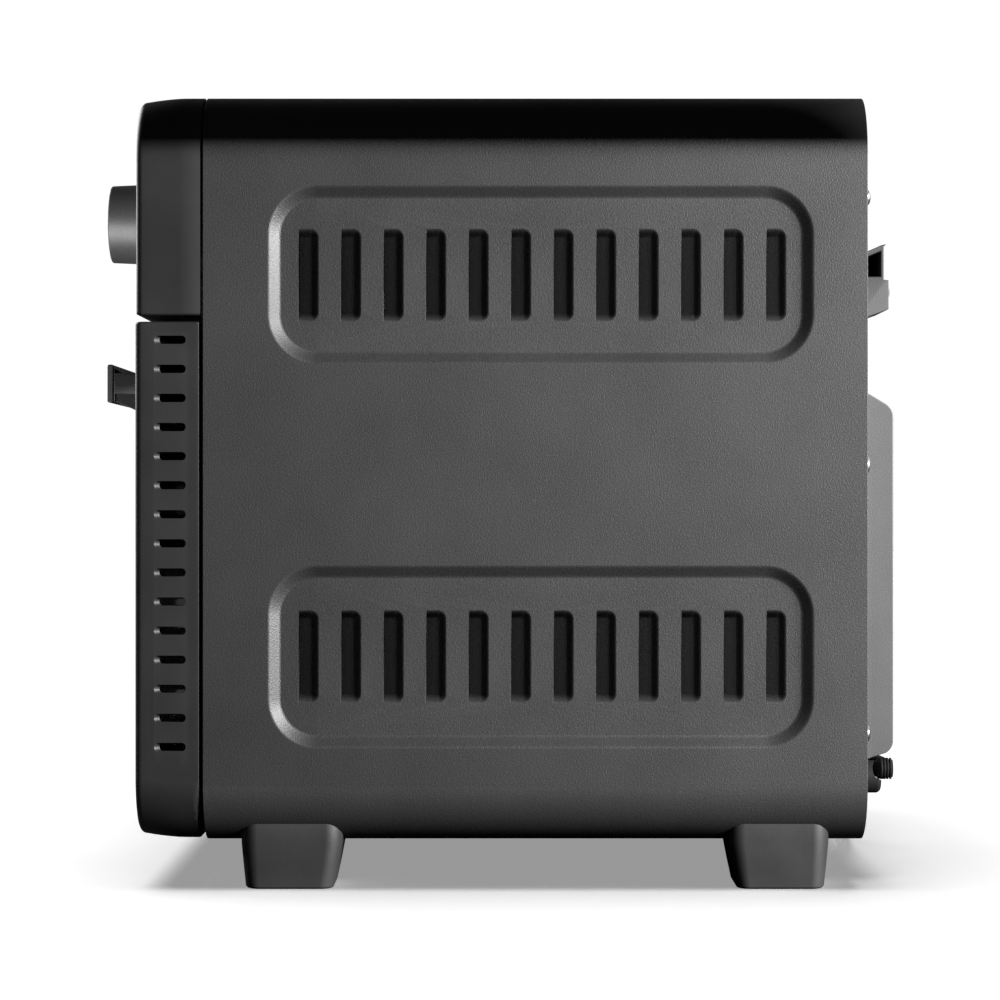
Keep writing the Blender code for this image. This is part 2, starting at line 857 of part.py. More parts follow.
def indicator_lens(paint, parts):
    profile = [
        (0.0, 0.0016),
        (LENS_RADIUS * 0.5, 0.00135),
        (LENS_RADIUS * 0.87, 0.0007),
        (LENS_RADIUS, 0.0),
        (LENS_RADIUS, -0.0060),
        (0.0, -0.0060),
    ]
    place = (LENS_X, PANEL_FACE_Y, LENS_Z)
    return turned("indicator_lens", profile, place, (0, -1, 0), paint, parts, 16)


def door_outline(inset, lift=0.0):
    """The door seen from the front: its lower corners follow the body's, and its top is square."""
    round_corner = CORNER_RADIUS - inset - lift * 0.7
    small = 0.0012
    return rounded_rectangle(
        -DOOR_HALF_WIDTH + inset,
        DOOR_HALF_WIDTH - inset,
        DOOR_BOTTOM + inset + lift,
        DOOR_TOP - inset,
        (round_corner, small, small, round_corner),
        (8, 2, 2, 8),
    )


def door_side_slots(cutters):
    parts = []
    radius = SLOT_HEIGHT / 2 - 0.0001
    for side in (-1, 1):
        ends = sorted((side * (DOOR_HALF_WIDTH - 0.004), side * (DOOR_HALF_WIDTH + 0.002)))
        for i in range(SLOT_COUNT):
            z = SLOT_TOP_Z - i * SLOT_PITCH
            outline = even_rectangle(
                SLOT_FRONT_Y, SLOT_REAR_Y, z - SLOT_HEIGHT / 2, z + SLOT_HEIGHT / 2, radius, 2
            )
            parts.append((*ends, outline))
    return prisms("door_side_slots", "X", parts, None, cutters)


def window_outline(grow=0.0):
    return even_rectangle(
        -WINDOW_HALF_WIDTH - grow,
        WINDOW_HALF_WIDTH + grow,
        WINDOW_BOTTOM - grow,
        WINDOW_TOP + grow,
        WINDOW_RADIUS,
        4,
    )


def pin_bosses(cutters):
    """Blocks on the door's floor, on both sides of each hinge arm, which carry the pins."""
    parts = []
    ends_y = (HINGE_Y - 0.0045, HINGE_Y + 0.0031)
    ends_z = (DOOR_BOTTOM + 0.0004, HINGE_Z + 0.0040)
    for side in (-1, 1):
        for near, far in BOSS_XS:
            outline = even_rectangle(*ends_y, *ends_z, 0.001, 1)
            parts.append((*sorted((side * near, side * far)), outline))
    return prisms("pin_bosses", "X", parts, None, cutters)


def arm_notches(cutters):
    reach = 0.0008
    pairs = []
    for side in (-1, 1):
        ends = sorted((side * (ARM_X - reach), side * (ARM_X + ARM_THICKNESS + reach)))
        pairs.append(
            ((ends[0], HINGE_Y - 0.0052, 0.015), (ends[1], DOOR_REAR_Y + 0.002, 0.0345))
        )
    return boxes("arm_notches", pairs, cutters)


def door_shell(paint, parts, cutters):
    """The moulded front and sides of the door, open towards the oven."""
    face = DOOR_FACE_Y
    rear = DOOR_REAR_Y
    sections = (
        (rear, door_outline(0.0, 0.0054)),
        (rear - 0.0016, door_outline(0.0)),
        (face + 0.0211, door_outline(0.0)),
        (face + 0.0042, door_outline(0.0, FACE_DROP * 0.85)),
        (face + 0.0013, door_outline(0.0010, FACE_DROP)),
        (face, door_outline(0.0036, FACE_DROP)),
    )
    shell = loft("door_shell", "Y", sections, paint, parts)
    wall = DOOR_WALL
    hollow = (
        (face + DOOR_FACE_WALL, door_outline(wall + 0.0020, FACE_DROP)),
        (face + 0.0211, door_outline(wall)),
        (rear - 0.0050, door_outline(wall)),
        (rear + 0.002, door_outline(wall, 0.0054)),
    )
    slots = door_side_slots(cutters)
    pocket = loft("door_hollow", "Y", hollow, None, cutters)
    window = prism("door_window", "Y", face - 0.002, face + 0.005, window_outline(), None, cutters)
    bosses = pin_bosses(cutters)
    bm = bmesh.new()
    for side in (-1, 1):
        start = (side * (PIN_INNER_X - 0.001), HINGE_Y, HINGE_Z)
        add_rod(bm, start, (side * (PIN_OUTER_X + GAP), HINGE_Y, HINGE_Z), PIN_RADIUS + GAP, 16)
    bores = mesh_object("pin_bores", bm, None, cutters)
    notches = arm_notches(cutters)
    cut(shell, pocket)
    cut(shell, window)
    cut(shell, slots)
    join(shell, bosses)
    cut(shell, bores)
    cut(shell, notches)
    return [shell, pocket, window, slots, bosses, bores, notches]


def door_back_plate(paint, parts, cutters):
    """The steel panel that closes the door towards the oven, with a step round the inner glass."""
    inset = DOOR_WALL + GAP
    high = DOOR_REAR_Y - GAP
    low = high - 0.0012
    outer = door_outline(inset, 0.0054)
    back = plate("door_back_plate", "Y", low, high, [outer, window_outline(-0.006)], paint, parts)
    back = as_mesh(back)
    pairs = []
    for side in (-1, 1):
        ends = sorted((side * (PIN_INNER_X - 0.001), side * (PIN_OUTER_X + 0.001)))
        pairs.append(((ends[0], low - 0.002, 0.020), (ends[1], high + 0.002, HINGE_Z + 0.006)))
    notches = boxes("back_plate_notches", pairs, cutters)
    cut(back, notches)
    return [back, notches]


def door_glass(name, low, grow, paint, parts):
    outline = even_rectangle(
        -WINDOW_HALF_WIDTH - grow,
        WINDOW_HALF_WIDTH + grow,
        WINDOW_BOTTOM - grow,
        WINDOW_TOP + grow,
        0.004,
        2,
    )
    return plate(name, "Y", low, low + GLASS, [outline], paint, parts)


def handle_bar(paint, parts):
    low = (-HANDLE_HALF_LENGTH, FRONT_Y, BAR_BOTTOM)
    high = (HANDLE_HALF_LENGTH, FRONT_Y + BAR_THICKNESS, BAR_TOP)
    return box("handle_bar", low, high, paint, parts, bevel=0.0006)


def handle_bracket(side, paint, parts):
    """The end bracket: a standoff with a small gusset above and a flared web below."""
    name = {-1: "left", 1: "right"}[side]
    bar = FRONT_Y + BAR_THICKNESS + GAP
    face = DOOR_FACE_Y - GAP
    outline = (
        (bar, BAR_BOTTOM + 0.0008),
        (face, 0.2238),
        (face, 0.2462),
        (bar + 0.0058, 0.2462),
        (bar, BAR_TOP - 0.0004),
    )
    outer = side * (HANDLE_HALF_LENGTH - 0.0004)
    ends = sorted((outer, outer - side * BRACKET_WIDTH))
    return prism("handle_bracket_" + name, "X", *ends, outline, paint, parts)


def hinge_pin(side, paint, parts):
    name = {-1: "left", 1: "right"}[side]
    start = (side * PIN_INNER_X, HINGE_Y, HINGE_Z)
    end = (side * PIN_OUTER_X, HINGE_Y, HINGE_Z)
    return rod("hinge_pin_" + name, start, end, PIN_RADIUS, paint, parts, 16)


def hinge_bracket(side, paint, parts):
    """A steel arm fixed in the body, whose knuckle holds the door's pin."""
    name = {-1: "left", 1: "right"}[side]
    knuckle = []
    for i in range(9):
        angle = math.radians(90 + 22.5 * i)
        knuckle.append(
            (HINGE_Y + KNUCKLE_RADIUS * math.cos(angle), HINGE_Z + KNUCKLE_RADIUS * math.sin(angle))
        )
    inside = BODY_FRONT_Y + 0.006
    body_end = inside + 0.034
    outline = [
        *knuckle,
        (body_end, HINGE_Z - KNUCKLE_RADIUS),
        (body_end, HINGE_Z + 0.013),
        (inside, HINGE_Z + 0.013),
        (inside - 0.002, HINGE_Z + KNUCKLE_RADIUS),
    ]
    hole = circle_outline(HINGE_Y, HINGE_Z, PIN_RADIUS + GAP, 12)
    ends = sorted((side * ARM_X, side * (ARM_X + ARM_THICKNESS)))
    return plate("hinge_bracket_" + name, "X", *ends, [outline, hole], paint, parts)


def hinge_spring(side, paint, parts):
    """A torsion spring wound round the pin, which helps the door shut."""
    name = {-1: "left", 1: "right"}[side]
    turn_points = 10
    count = SPRING_TURNS * turn_points
    points = []
    for i in range(count + 1):
        angle = 2 * math.pi * i / turn_points
        x = PIN_INNER_X + 0.0015 + SPRING_LENGTH * i / count
        points.append(
            (
                side * x,
                HINGE_Y + SPRING_RADIUS * math.cos(angle),
                HINGE_Z + SPRING_RADIUS * math.sin(angle),
            )
        )
    return tube("hinge_spring_" + name, points, SPRING_WIRE, paint, parts, sides=0)


# ---------------------------------------------------------------- inside the oven


def front_frame(paint, parts):
    """The pressed frame that the door shuts against, with the oven's mouth and the hinge slots."""
    inset = SHEET + GAP
    radius = CORNER_RADIUS - inset
    small = 0.002
    edge = rounded_rectangle(
        -SIDE_X + inset,
        SIDE_X - inset,
        BODY_BOTTOM + inset,
        0.2660,
        (radius, small, small, radius),
        (6, 1, 1, 6),
    )
    lip = 0.0005
    mouth = even_rectangle(
        -CAVITY_X + lip, CAVITY_X - lip, CAVITY_BOTTOM + lip, CAVITY_TOP - lip, 0.008, 3
    )
    holes = [mouth]
    for side in (-1, 1):
        ends = sorted((side * (ARM_X - 0.0004), side * (ARM_X + ARM_THICKNESS + 0.0004)))
        holes.append(
            even_rectangle(*ends, HINGE_Z - KNUCKLE_RADIUS - 0.0004, HINGE_Z + 0.0134, 0.0003, 1)
        )
    low = BODY_FRONT_Y + 0.0013
    return plate("front_frame", "Y", low, low + 0.0015, [edge, *holes], paint, parts)


def cavity_liner(paint, parts, cutters):
    """The enamelled oven box: a tub open at the front, with three pairs of rack rails."""
    outer_x = CAVITY_X + SHEET
    outer = even_rectangle(
        -outer_x, outer_x, CAVITY_BOTTOM - SHEET, CAVITY_TOP + SHEET, 0.0092, 3
    )
    inner = even_rectangle(-CAVITY_X, CAVITY_X, CAVITY_BOTTOM, CAVITY_TOP, 0.008, 3)
    liner = prism("cavity_liner", "Y", CAVITY_FRONT_Y, CAVITY_REAR_Y + SHEET, outer, paint, parts)
    hollow = prism("cavity_space", "Y", CAVITY_FRONT_Y - 0.002, CAVITY_REAR_Y, inner, None, cutters)
    rails = []
    for side in (-1, 1):
        for top in RAIL_TOPS:
            ends = sorted((side * (CAVITY_X - RAIL_REACH), side * (CAVITY_X + 0.0006)))
            low = (ends[0], -0.124, top - RAIL_HEIGHT)
            rails.append((low, (ends[1], 0.132, top)))
    ribs = boxes("rack_rails", rails, cutters)
    shaft_hole = rod(
        "fan_shaft_hole",
        (0.0, FAN_Y, CAVITY_TOP - 0.002),
        (0.0, FAN_Y, CAVITY_TOP + 0.004),
        0.006,
        None,
        cutters,
    )
    cut(liner, hollow)
    join(liner, ribs)
    cut(liner, shaft_hole)
    return liner


def heating_element(level, index, paint, parts):
    """A straight tubular element with a thicker ceramic end piece against each side wall."""
    end = CAVITY_X - GAP
    collar = 0.0065
    reach = end - 0.012
    half = [(0.0, end), (collar, end), (collar, reach), (ELEMENT_RADIUS, reach)]
    profile = half + [(radius, -height) for radius, height in reversed(half)]
    place = (0.0, ELEMENT_YS[index], ELEMENT_ZS[level])
    name = "element_" + level + "_" + ("front", "rear")[index]
    return turned(name, profile, place, (1, 0, 0), paint, parts, 14)


def fan(paint, parts, cutters):
    """The convection fan: a hub with its shaft, and six flat pitched blades."""
    hub = rod("fan", (0.0, FAN_Y, FAN_Z), (0.0, FAN_Y, FAN_Z + 0.0070), 0.011, paint, parts, 20)
    shaft = rod(
        "fan_shaft_stub",
        (0.0, FAN_Y, FAN_Z + 0.003),
        (0.0, FAN_Y, CAVITY_TOP + 0.016),
        SHAFT_RADIUS,
        None,
        cutters,
    )
    blades = bmesh.new()
    for i in range(6):
        size = Matrix.Diagonal((FAN_RADIUS - 0.008, 0.018, 0.0010, 1.0))
        slide = Matrix.Translation(((FAN_RADIUS + 0.008) / 2, 0.0, 0.0))
        pitch = Matrix.Rotation(math.radians(17), 4, "X")
        spin = Matrix.Rotation(math.radians(60 * i), 4, "Z")
        place = Matrix.Translation((0.0, FAN_Y, FAN_Z + 0.0034))
        bmesh.ops.create_cube(blades, size=1.0, matrix=place @ spin @ pitch @ slide @ size)
    vanes = mesh_object("fan_blades", blades, None, cutters)
    join(hub, shaft)
    join(hub, vanes)
    return [hub, shaft, vanes]


def fan_motor(paint, parts, cutters):
    base = CAVITY_TOP + SHEET + 0.002
    profile = [
        (0.0, 0.040),
        (0.012, 0.040),
        (0.012, 0.034),
        (MOTOR_RADIUS - 0.002, 0.034),
        (MOTOR_RADIUS, 0.032),
        (MOTOR_RADIUS, 0.002),
        (MOTOR_RADIUS - 0.002, 0.0),
        (0.0, 0.0),
    ]
    motor = turned("fan_motor", profile, (0.0, FAN_Y, base), (0, 0, 1), paint, parts, 24)
    bore = rod(
        "motor_bore",
        (0.0, FAN_Y, base - 0.001),
        (0.0, FAN_Y, CAVITY_TOP + 0.0165),
        SHAFT_RADIUS + GAP,
        None,
        cutters,
    )
    cut(motor, bore)
    return motor


def fan_guard(paint, parts, cutters):
    """A slotted dish screwed to the ceiling, which keeps food away from the fan."""
    top = CAVITY_TOP - GAP
    low = FAN_Z - 0.0035
    rim = FAN_RADIUS + 0.010
    drop = low - top
    wall = 0.0010
    profile = [
        (rim + 0.006, 0.0),
        (rim + 0.006, -wall),
        (rim, -wall),
        (rim - 0.004, drop),
        (0.0, drop),
        (0.0, drop + wall),
        (rim - 0.0048, drop + wall),
        (rim - 0.0010, 0.0),
        (rim + 0.006, 0.0),
    ]
    guard = turned("fan_guard", profile, (0.0, FAN_Y, top), (0, 0, 1), paint, parts, 24)
    slots = bmesh.new()
    for i in range(12):
        spin = Matrix.Rotation(2 * math.pi * (i + 0.5) / 12, 4, "Z")
        size = Matrix.Diagonal((0.030, 0.0045, 0.006, 1.0))
        slide = Matrix.Translation((0.034, 0.0, 0.0))
        place = Matrix.Translation((0.0, FAN_Y, low))
        bmesh.ops.create_cube(slots, size=1.0, matrix=place @ spin @ slide @ size)
    cut(guard, mesh_object("guard_slots", slots, None, cutters))
    return guard


def wire_rack(paint, parts, cutters):
    """A frame rod bent to a rectangle, with cross wires welded between its front and back."""
    z = RAIL_TOPS[1] + RACK_ROD + GAP
    corner = 0.010
    outline = even_rectangle(-RACK_X, RACK_X, RACK_FRONT_Y, RACK_REAR_Y, corner, 3)
    loop = [(x, y, z) for x, y in outline]
    frame = as_mesh(tube("wire_rack", loop, RACK_ROD, paint, parts, sides=2, cyclic=True))
    wires = bmesh.new()
    for i in range(RACK_WIRES):
        x = (RACK_X - 0.022) * (2 * i / (RACK_WIRES - 1) - 1)
        add_rod(wires, (x, RACK_FRONT_Y - 0.0004, z), (x, RACK_REAR_Y + 0.0004, z), RACK_WIRE, 8)
    grid = mesh_object("rack_wires", wires, None, cutters)
    join(frame, grid)
    return [frame, grid]


def crumb_tray(paint, parts, cutters):
    half = CAVITY_X - 0.009
    front = CAVITY_FRONT_Y + 0.0015
    rear = CAVITY_REAR_Y - 0.003
    low = CAVITY_BOTTOM + GAP
    wall = 0.0010
    outer = even_rectangle(-half, half, front, rear, 0.007, 3)
    tray = prism("crumb_tray", "Z", low, low + 0.006, outer, paint, parts)
    inner = even_rectangle(-half + wall, half - wall, front + wall, rear - wall, 0.006, 3)
    cut(tray, prism("crumb_tray_space", "Z", low + wall, low + 0.010, inner, None, cutters))
    return tray


# ---------------------------------------------------------------- power cord


def cord_gland(paint, parts, cutters):
    """The bushing in the rear panel, with a trough that the strain relief lies in."""
    base = BODY_REAR_Y + GAP
    length = 0.0117
    profile = [
        (0.0, length),
        (GLAND_RADIUS - 0.002, length),
        (GLAND_RADIUS, length - 0.002),
        (GLAND_RADIUS, 0.0),
        (GLAND_NECK, 0.0),
        (GLAND_NECK, -0.0050),
        (0.0, -0.0050),
    ]
    gland = turned("cord_gland", profile, (GLAND_X, base, GLAND_Z), (0, 1, 0), paint, parts, 20)
    trough = rod(
        "gland_trough",
        (GLAND_X - 0.012, RELIEF_Y, RELIEF_Z),
        (GLAND_X + 0.012, RELIEF_Y, RELIEF_Z),
        0.0056,
        None,
        cutters,
    )
    cut(gland, trough)
    return gland


def strain_relief(paint, parts):
    """A ribbed boot that tapers from the gland to the cord."""
    length = RELIEF_NEAR_X - RELIEF_FAR_X
    root = 0.0053
    tip = 0.0040
    ribs = 5
    profile = [(0.0, 0.0), (root - 0.0012, 0.0), (root, -0.0010)]
    for i in range(ribs):
        start = 0.012 + i * (length - 0.015) / ribs
        radius = root + (tip - root) * start / length
        profile += [
            (radius, -start),
            (radius - 0.0008, -start - 0.0006),
            (radius - 0.0008, -start - 0.0022),
            (radius - 0.0001, -start - 0.0028),
        ]
    profile += [(tip, -length), (0.0, -length)]
    place = (RELIEF_NEAR_X, RELIEF_Y, RELIEF_Z)
    return turned("strain_relief", profile, place, (1, 0, 0), paint, parts, 12)


def smooth_route(points, steps):
    """Points along a Catmull-Rom curve through the route's own points."""
    padded = [points[0], *points, points[-1]]
    made = []
    for i in range(1, len(padded) - 2):
        a, b, c, d = (Vector(p) for p in padded[i - 1 : i + 3])
        for step in range(steps):
            t = step / steps
            made.append(
                0.5
                * (
                    2 * b
                    + (c - a) * t
                    + (2 * a - 5 * b + 4 * c - d) * t**2
                    + (3 * b - a - 3 * c + d) * t**3
                )
            )
    made.append(Vector(points[-1]))
    return made


def power_cord(paint, parts):
    return tube("power_cord", smooth_route(CORD_ROUTE, 2), CORD_RADIUS, paint, parts, sides=2)


def cord_coil(paint, parts):
    """The outer shape of the wound length: a ring one cord wide and two cords high."""
    low = GAP
    high = 2 * CORD_RADIUS * COIL_LAYERS + 2 * GAP
    inner = COIL_RADIUS - CORD_RADIUS
    outer = COIL_RADIUS + CORD_RADIUS
    ease = 0.0012
    profile = [
        (inner + ease, high),
        (outer - ease, high),
        (outer, high - ease),
        (outer, low + ease),
        (outer - ease, low),
        (inner + ease, low),
        (inner, low + ease),
        (inner, high - ease),
        (inner + ease, high),
    ]
    return turned("cord_coil", profile, (*COIL_CENTRE, 0.0), (0, 0, 1), paint, parts, 24)


def power_plug(paint, parts, cutters):
    """A two-pin moulded plug that lies beside the coil, with its own short relief."""
    x = COIL_CENTRE[0] - COIL_RADIUS
    start = COIL_CENTRE[1] - 0.0248
    sections = []
    for along, half_x, half_z in (
        (0.0, 0.0042, 0.0042),
        (0.018, 0.0056, 0.0056),
        (0.022, 0.0100, 0.0085),
        (0.028, 0.0130, 0.0100),
        (0.044, 0.0135, 0.0100),
        (0.048, 0.0125, 0.0094),
    ):
        ease = min(half_x, half_z) * 0.65
        outline = even_rectangle(x - half_x, x + half_x, PLUG_Z - half_z, PLUG_Z + half_z, ease, 3)
        sections.append((start - along, outline))
    plug = loft("power_plug", "Y", sections, paint, parts)
    face = start - 0.048
    blades = []
    for offset in (-0.0064, 0.0064):
        outline = even_rectangle(
            x + offset - 0.00075, x + offset + 0.00075, PLUG_Z - 0.0031, PLUG_Z + 0.0031, 0.0004, 1
        )
        blades.append((face - 0.0170, face + 0.004, outline))
    join(plug, prisms("plug_blades", "Y", blades, None, cutters))
    return plug


# ---------------------------------------------------------------- assembly


def paints():
    """One material for each finish."""
    return {
        "coat": material("powder_coat", (0.16, 0.16, 0.165), 0.55, 0.25),
        "moulding": material("front_moulding", (0.055, 0.055, 0.058), 0.5),
        "knob": material("knob_satin", (0.30, 0.30, 0.31), 0.38, 0.7),
        "steel": material("plain_steel", (0.55, 0.55, 0.56), 0.35, 1.0),
        "galvanised": material("galvanised_sheet", (0.48, 0.49, 0.50), 0.42, 0.9),
        "cover": material("satin_cover", (0.42, 0.42, 0.43), 0.45, 0.6),
        "chrome": material("chromed_wire", (0.75, 0.75, 0.76), 0.18, 1.0),
        "enamel": material("dark_enamel", (0.09, 0.09, 0.095), 0.35),
        "glass": material("oven_glass", (0.05, 0.055, 0.06), 0.05),
        "element": material("element_sheath", (0.20, 0.18, 0.17), 0.6, 0.5),
        "plastic": material("dark_plastic", (0.045, 0.045, 0.047), 0.55),
        "rubber": material("black_rubber", (0.02, 0.02, 0.021), 0.75),
        "lens": material("red_lens", (0.55, 0.03, 0.02), 0.15),
    }


def build_body(paint, parts, cutters):
    outer_wrap(paint["coat"], parts, cutters)
    base_plate(paint["galvanised"], parts)
    rear_panel(paint["galvanised"], parts)
    rear_cover(paint["cover"], parts, cutters)
    space = prism(
        "body_space",
        "Y",
        BODY_FRONT_Y - 0.01,
        BODY_REAR_Y + 0.01,
        body_outline(-GAP),
        None,
        cutters,
    )
    for side_x in (-1, 1):
        wall_spacer(side_x, paint["cover"], parts, cutters)
        bumper(side_x, paint["rubber"], parts)
        for index in range(len(SCREW_HEIGHTS)):
            rear_screw(side_x, index, paint["steel"], parts)
        for side_y in (-1, 1):
            foot(side_x, side_y, paint["plastic"], parts, space)


def build_controls(paint, parts, cutters):
    control_panel(paint["moulding"], parts, cutters)
    control_units(paint["galvanised"], parts, cutters)
    indicator_lens(paint["lens"], parts)
    for name, x in KNOB_XS.items():
        turned_knob, bore = knob(name, paint["knob"], parts, cutters)
        shaft = knob_shaft(name, paint["steel"], parts)
        place = (x, PANEL_FACE_Y, KNOB_Z)
        pivot("axis_knob_" + name, place, parts, [turned_knob, bore, shaft])


def build_door(paint, parts, cutters):
    members = door_shell(paint["moulding"], parts, cutters)
    members += door_back_plate(paint["galvanised"], parts, cutters)
    outer_low = DOOR_FACE_Y + DOOR_FACE_WALL + GAP
    members.append(door_glass("door_glass_outer", outer_low, 0.010, paint["glass"], parts))
    inner_low = DOOR_REAR_Y - GAP - 0.0012 - GAP - GLASS
    members.append(door_glass("door_glass_inner", inner_low, 0.006, paint["glass"], parts))
    members.append(handle_bar(paint["steel"], parts))
    for side in (-1, 1):
        members.append(handle_bracket(side, paint["plastic"], parts))
        members.append(hinge_pin(side, paint["steel"], parts))
        members.append(hinge_spring(side, paint["steel"], parts))
        hinge_bracket(side, paint["galvanised"], parts)
    pivot("axis_door", (0.0, HINGE_Y, HINGE_Z), parts, members)


def build_inside(paint, parts, cutters):
    front_frame(paint["galvanised"], parts)
    cavity_liner(paint["enamel"], parts, cutters)
    crumb_tray(paint["galvanised"], parts, cutters)
    for level in ELEMENT_ZS:
        for index in range(2):
            heating_element(level, index, paint["element"], parts)
    fan_motor(paint["galvanised"], parts, cutters)
    fan_guard(paint["galvanised"], parts, cutters)
    pivot("axis_fan", (0.0, FAN_Y, FAN_Z), parts, fan(paint["steel"], parts, cutters))
    rack_place = (0.0, RACK_FRONT_Y, RAIL_TOPS[1])
    pivot("axis_rack", rack_place, parts, wire_rack(paint["chrome"], parts, cutters))


def build_cord(paint, parts, cutters):
    cord_gland(paint["rubber"], parts, cutters)
    strain_relief(paint["rubber"], parts)
    power_cord(paint["rubber"], parts)
    cord_coil(paint["rubber"], parts)
    power_plug(paint["rubber"], parts, cutters)


def main():
    clear_scene()
    parts = new_collection(OBJECT_NAME)
    cutters = new_collection("cutters", hidden=True)
    paint = paints()
    build_body(paint, parts, cutters)
    build_controls(paint, parts, cutters)
    build_door(paint, parts, cutters)
    build_inside(paint, parts, cutters)
    build_cord(paint, parts, cutters)


main()
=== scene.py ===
import json
import math

import bmesh
import bpy
from mathutils import Matrix, Vector

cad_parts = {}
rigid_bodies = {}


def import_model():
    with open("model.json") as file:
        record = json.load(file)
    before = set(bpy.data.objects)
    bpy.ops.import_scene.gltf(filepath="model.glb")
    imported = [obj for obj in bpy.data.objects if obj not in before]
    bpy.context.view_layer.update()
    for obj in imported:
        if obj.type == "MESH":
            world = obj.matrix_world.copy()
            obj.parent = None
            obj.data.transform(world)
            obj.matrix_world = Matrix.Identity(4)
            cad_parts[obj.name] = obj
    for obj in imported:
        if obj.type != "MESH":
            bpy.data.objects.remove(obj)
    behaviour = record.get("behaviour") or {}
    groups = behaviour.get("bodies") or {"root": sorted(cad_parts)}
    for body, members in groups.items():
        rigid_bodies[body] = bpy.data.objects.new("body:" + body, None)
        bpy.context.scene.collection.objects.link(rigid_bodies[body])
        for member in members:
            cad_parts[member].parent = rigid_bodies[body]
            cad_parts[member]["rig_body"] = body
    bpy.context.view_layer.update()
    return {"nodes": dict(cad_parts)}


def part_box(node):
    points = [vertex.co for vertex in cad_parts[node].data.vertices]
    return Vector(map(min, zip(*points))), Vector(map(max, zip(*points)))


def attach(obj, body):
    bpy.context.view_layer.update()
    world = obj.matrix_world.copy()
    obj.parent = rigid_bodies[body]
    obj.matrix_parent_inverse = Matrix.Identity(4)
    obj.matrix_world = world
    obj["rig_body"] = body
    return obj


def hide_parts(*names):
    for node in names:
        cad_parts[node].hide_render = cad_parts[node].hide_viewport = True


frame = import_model()
NODES = frame["nodes"]
SIDES = {"left": -1, "right": 1}

# ---------------- places, read from the frame


def middle(node):
    low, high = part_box(node)
    return (low + high) / 2


WRAP_LOW, WRAP_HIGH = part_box("outer_wrap")
PANEL_LOW, PANEL_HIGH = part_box("control_panel")
DOOR_LOW, DOOR_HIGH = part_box("door_shell")
BAR_LOW, BAR_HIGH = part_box("handle_bar")
SIDE_X = WRAP_HIGH.x
CORNER = 0.029
SHEET = 0.0012
FLANGE_X = 0.150
GAP = 0.0003

# The vent fields pressed into both sides, and the louvres in them
FIELD_FRONT = -0.1065
FIELD_REAR = 0.1498
FIELD_HEIGHTS = ((0.0670, 0.1531), (0.2470, 0.3311))
FIELD_CORNER = 0.0234
FIELD_SLOPE = 0.0064
FIELD_DEPTH = 0.0035
LOUVRES = 12
LOUVRE_FIRST = -0.0921
LOUVRE_PITCH = 0.01994
LOUVRE_LENGTH = 0.0097
LOUVRE_HALF = 0.0220
LOUVRE_CORNER = 0.0044
LOUVRE_BEND = 0.0042
LOUVRE_DROP = 0.0030
LOUVRE_TILT = 0.0026
LOUVRE_INSETS = (0.0003, 0.0007, 0.0012, 0.0018, 0.0024, 0.0030, 0.0035, 0.0039, LOUVRE_BEND)
SLOPE_STEPS = 10
SLOPE_BEND = 0.22

# The cord
CORD_RADIUS = 0.0035
COIL_CENTRE = (-0.258, 0.140)
COIL_RADIUS = 0.0385
COIL_TURNS = 2.25
COIL_STEPS = 16
COIL_LOW = 0.0038
COIL_HIGH = 0.0109
CORD_ROUTE = (
    (0.1117, 0.1878, 0.0535),
    (0.1000, 0.1878, 0.0533),
    (0.0880, 0.1879, 0.0520),
    (0.0760, 0.1880, 0.0490),
    (0.0630, 0.1881, 0.0440),
    (0.0480, 0.1882, 0.0365),
    (0.0320, 0.1883, 0.0275),
    (0.0150, 0.1884, 0.0185),
    (-0.0030, 0.1885, 0.0105),
    (-0.0220, 0.1887, 0.0055),
    (-0.0420, 0.1888, 0.0039),
    (-0.0700, 0.1890, 0.0038),
    (-0.1000, 0.1892, 0.0038),
    (-0.1300, 0.1890, 0.0038),
    (-0.1600, 0.1878, 0.0038),
    (-0.1880, 0.1853, 0.0038),
    (-0.2120, 0.1820, 0.0038),
    (-0.2345, 0.1788, 0.0038),
)

# ---------------- camera, lights and floor

CAMERA_PLACE = (1.604, 0.00245, 0.1835)
LENS = 108
SENSOR_WIDTH = 36
CLIP_START = 0.05

BACKDROP = 1.02
AMBIENT = 0.009
FLOOR_HALF = 9.0
FLOOR_BOUNCE = 0.06
FLOOR_GLOW = 0.315
SUN_STRENGTH = 3.3
SUN_ANGLE = 46
SUN_TILT = (6.5, -0.5)

# Each lamp is a place, a target, a size and a power in watts
LAMPS = {
    "key": ((1.02, 1.35, 0.60), (0.15, 0.0, 0.17), (0.8, 0.34), 132),
    "front_fill": ((-1.2, -1.7, 1.0), (0, 0, 0.17), (1.4, 1.4), 54),
    "rear_fill": ((-1.3, 1.3, 1.1), (0, 0, 0.17), (1.2, 1.2), 9),
}
FRONT_LAMP = ((1.10, -0.60, -0.22), (0.1, -0.18, 0.30), (0.4, 0.8), 13)
FRONT_LIT = ("_cap", "_grip", "_casting")

# The flag's two cards are (rear end, low, high), and share their front end
FLAG_OUT = 0.022
FLAG_FRONT = -0.25
FLAG_CARDS = ((0.228, 0.355, 0.388), (0.62, 0.388, 0.56))


def added(name, data):
    """A new object in the scene."""
    obj = bpy.data.objects.new(name, data)
    bpy.context.scene.collection.objects.link(obj)
    return obj


def add_camera():
    camera = added("camera", bpy.data.cameras.new("camera"))
    bpy.context.scene.camera = camera
    camera.location = CAMERA_PLACE
    camera.rotation_euler = (math.pi / 2, 0, math.pi / 2)
    camera.data.lens = LENS
    camera.data.sensor_width = SENSOR_WIDTH
    camera.data.clip_start = CLIP_START


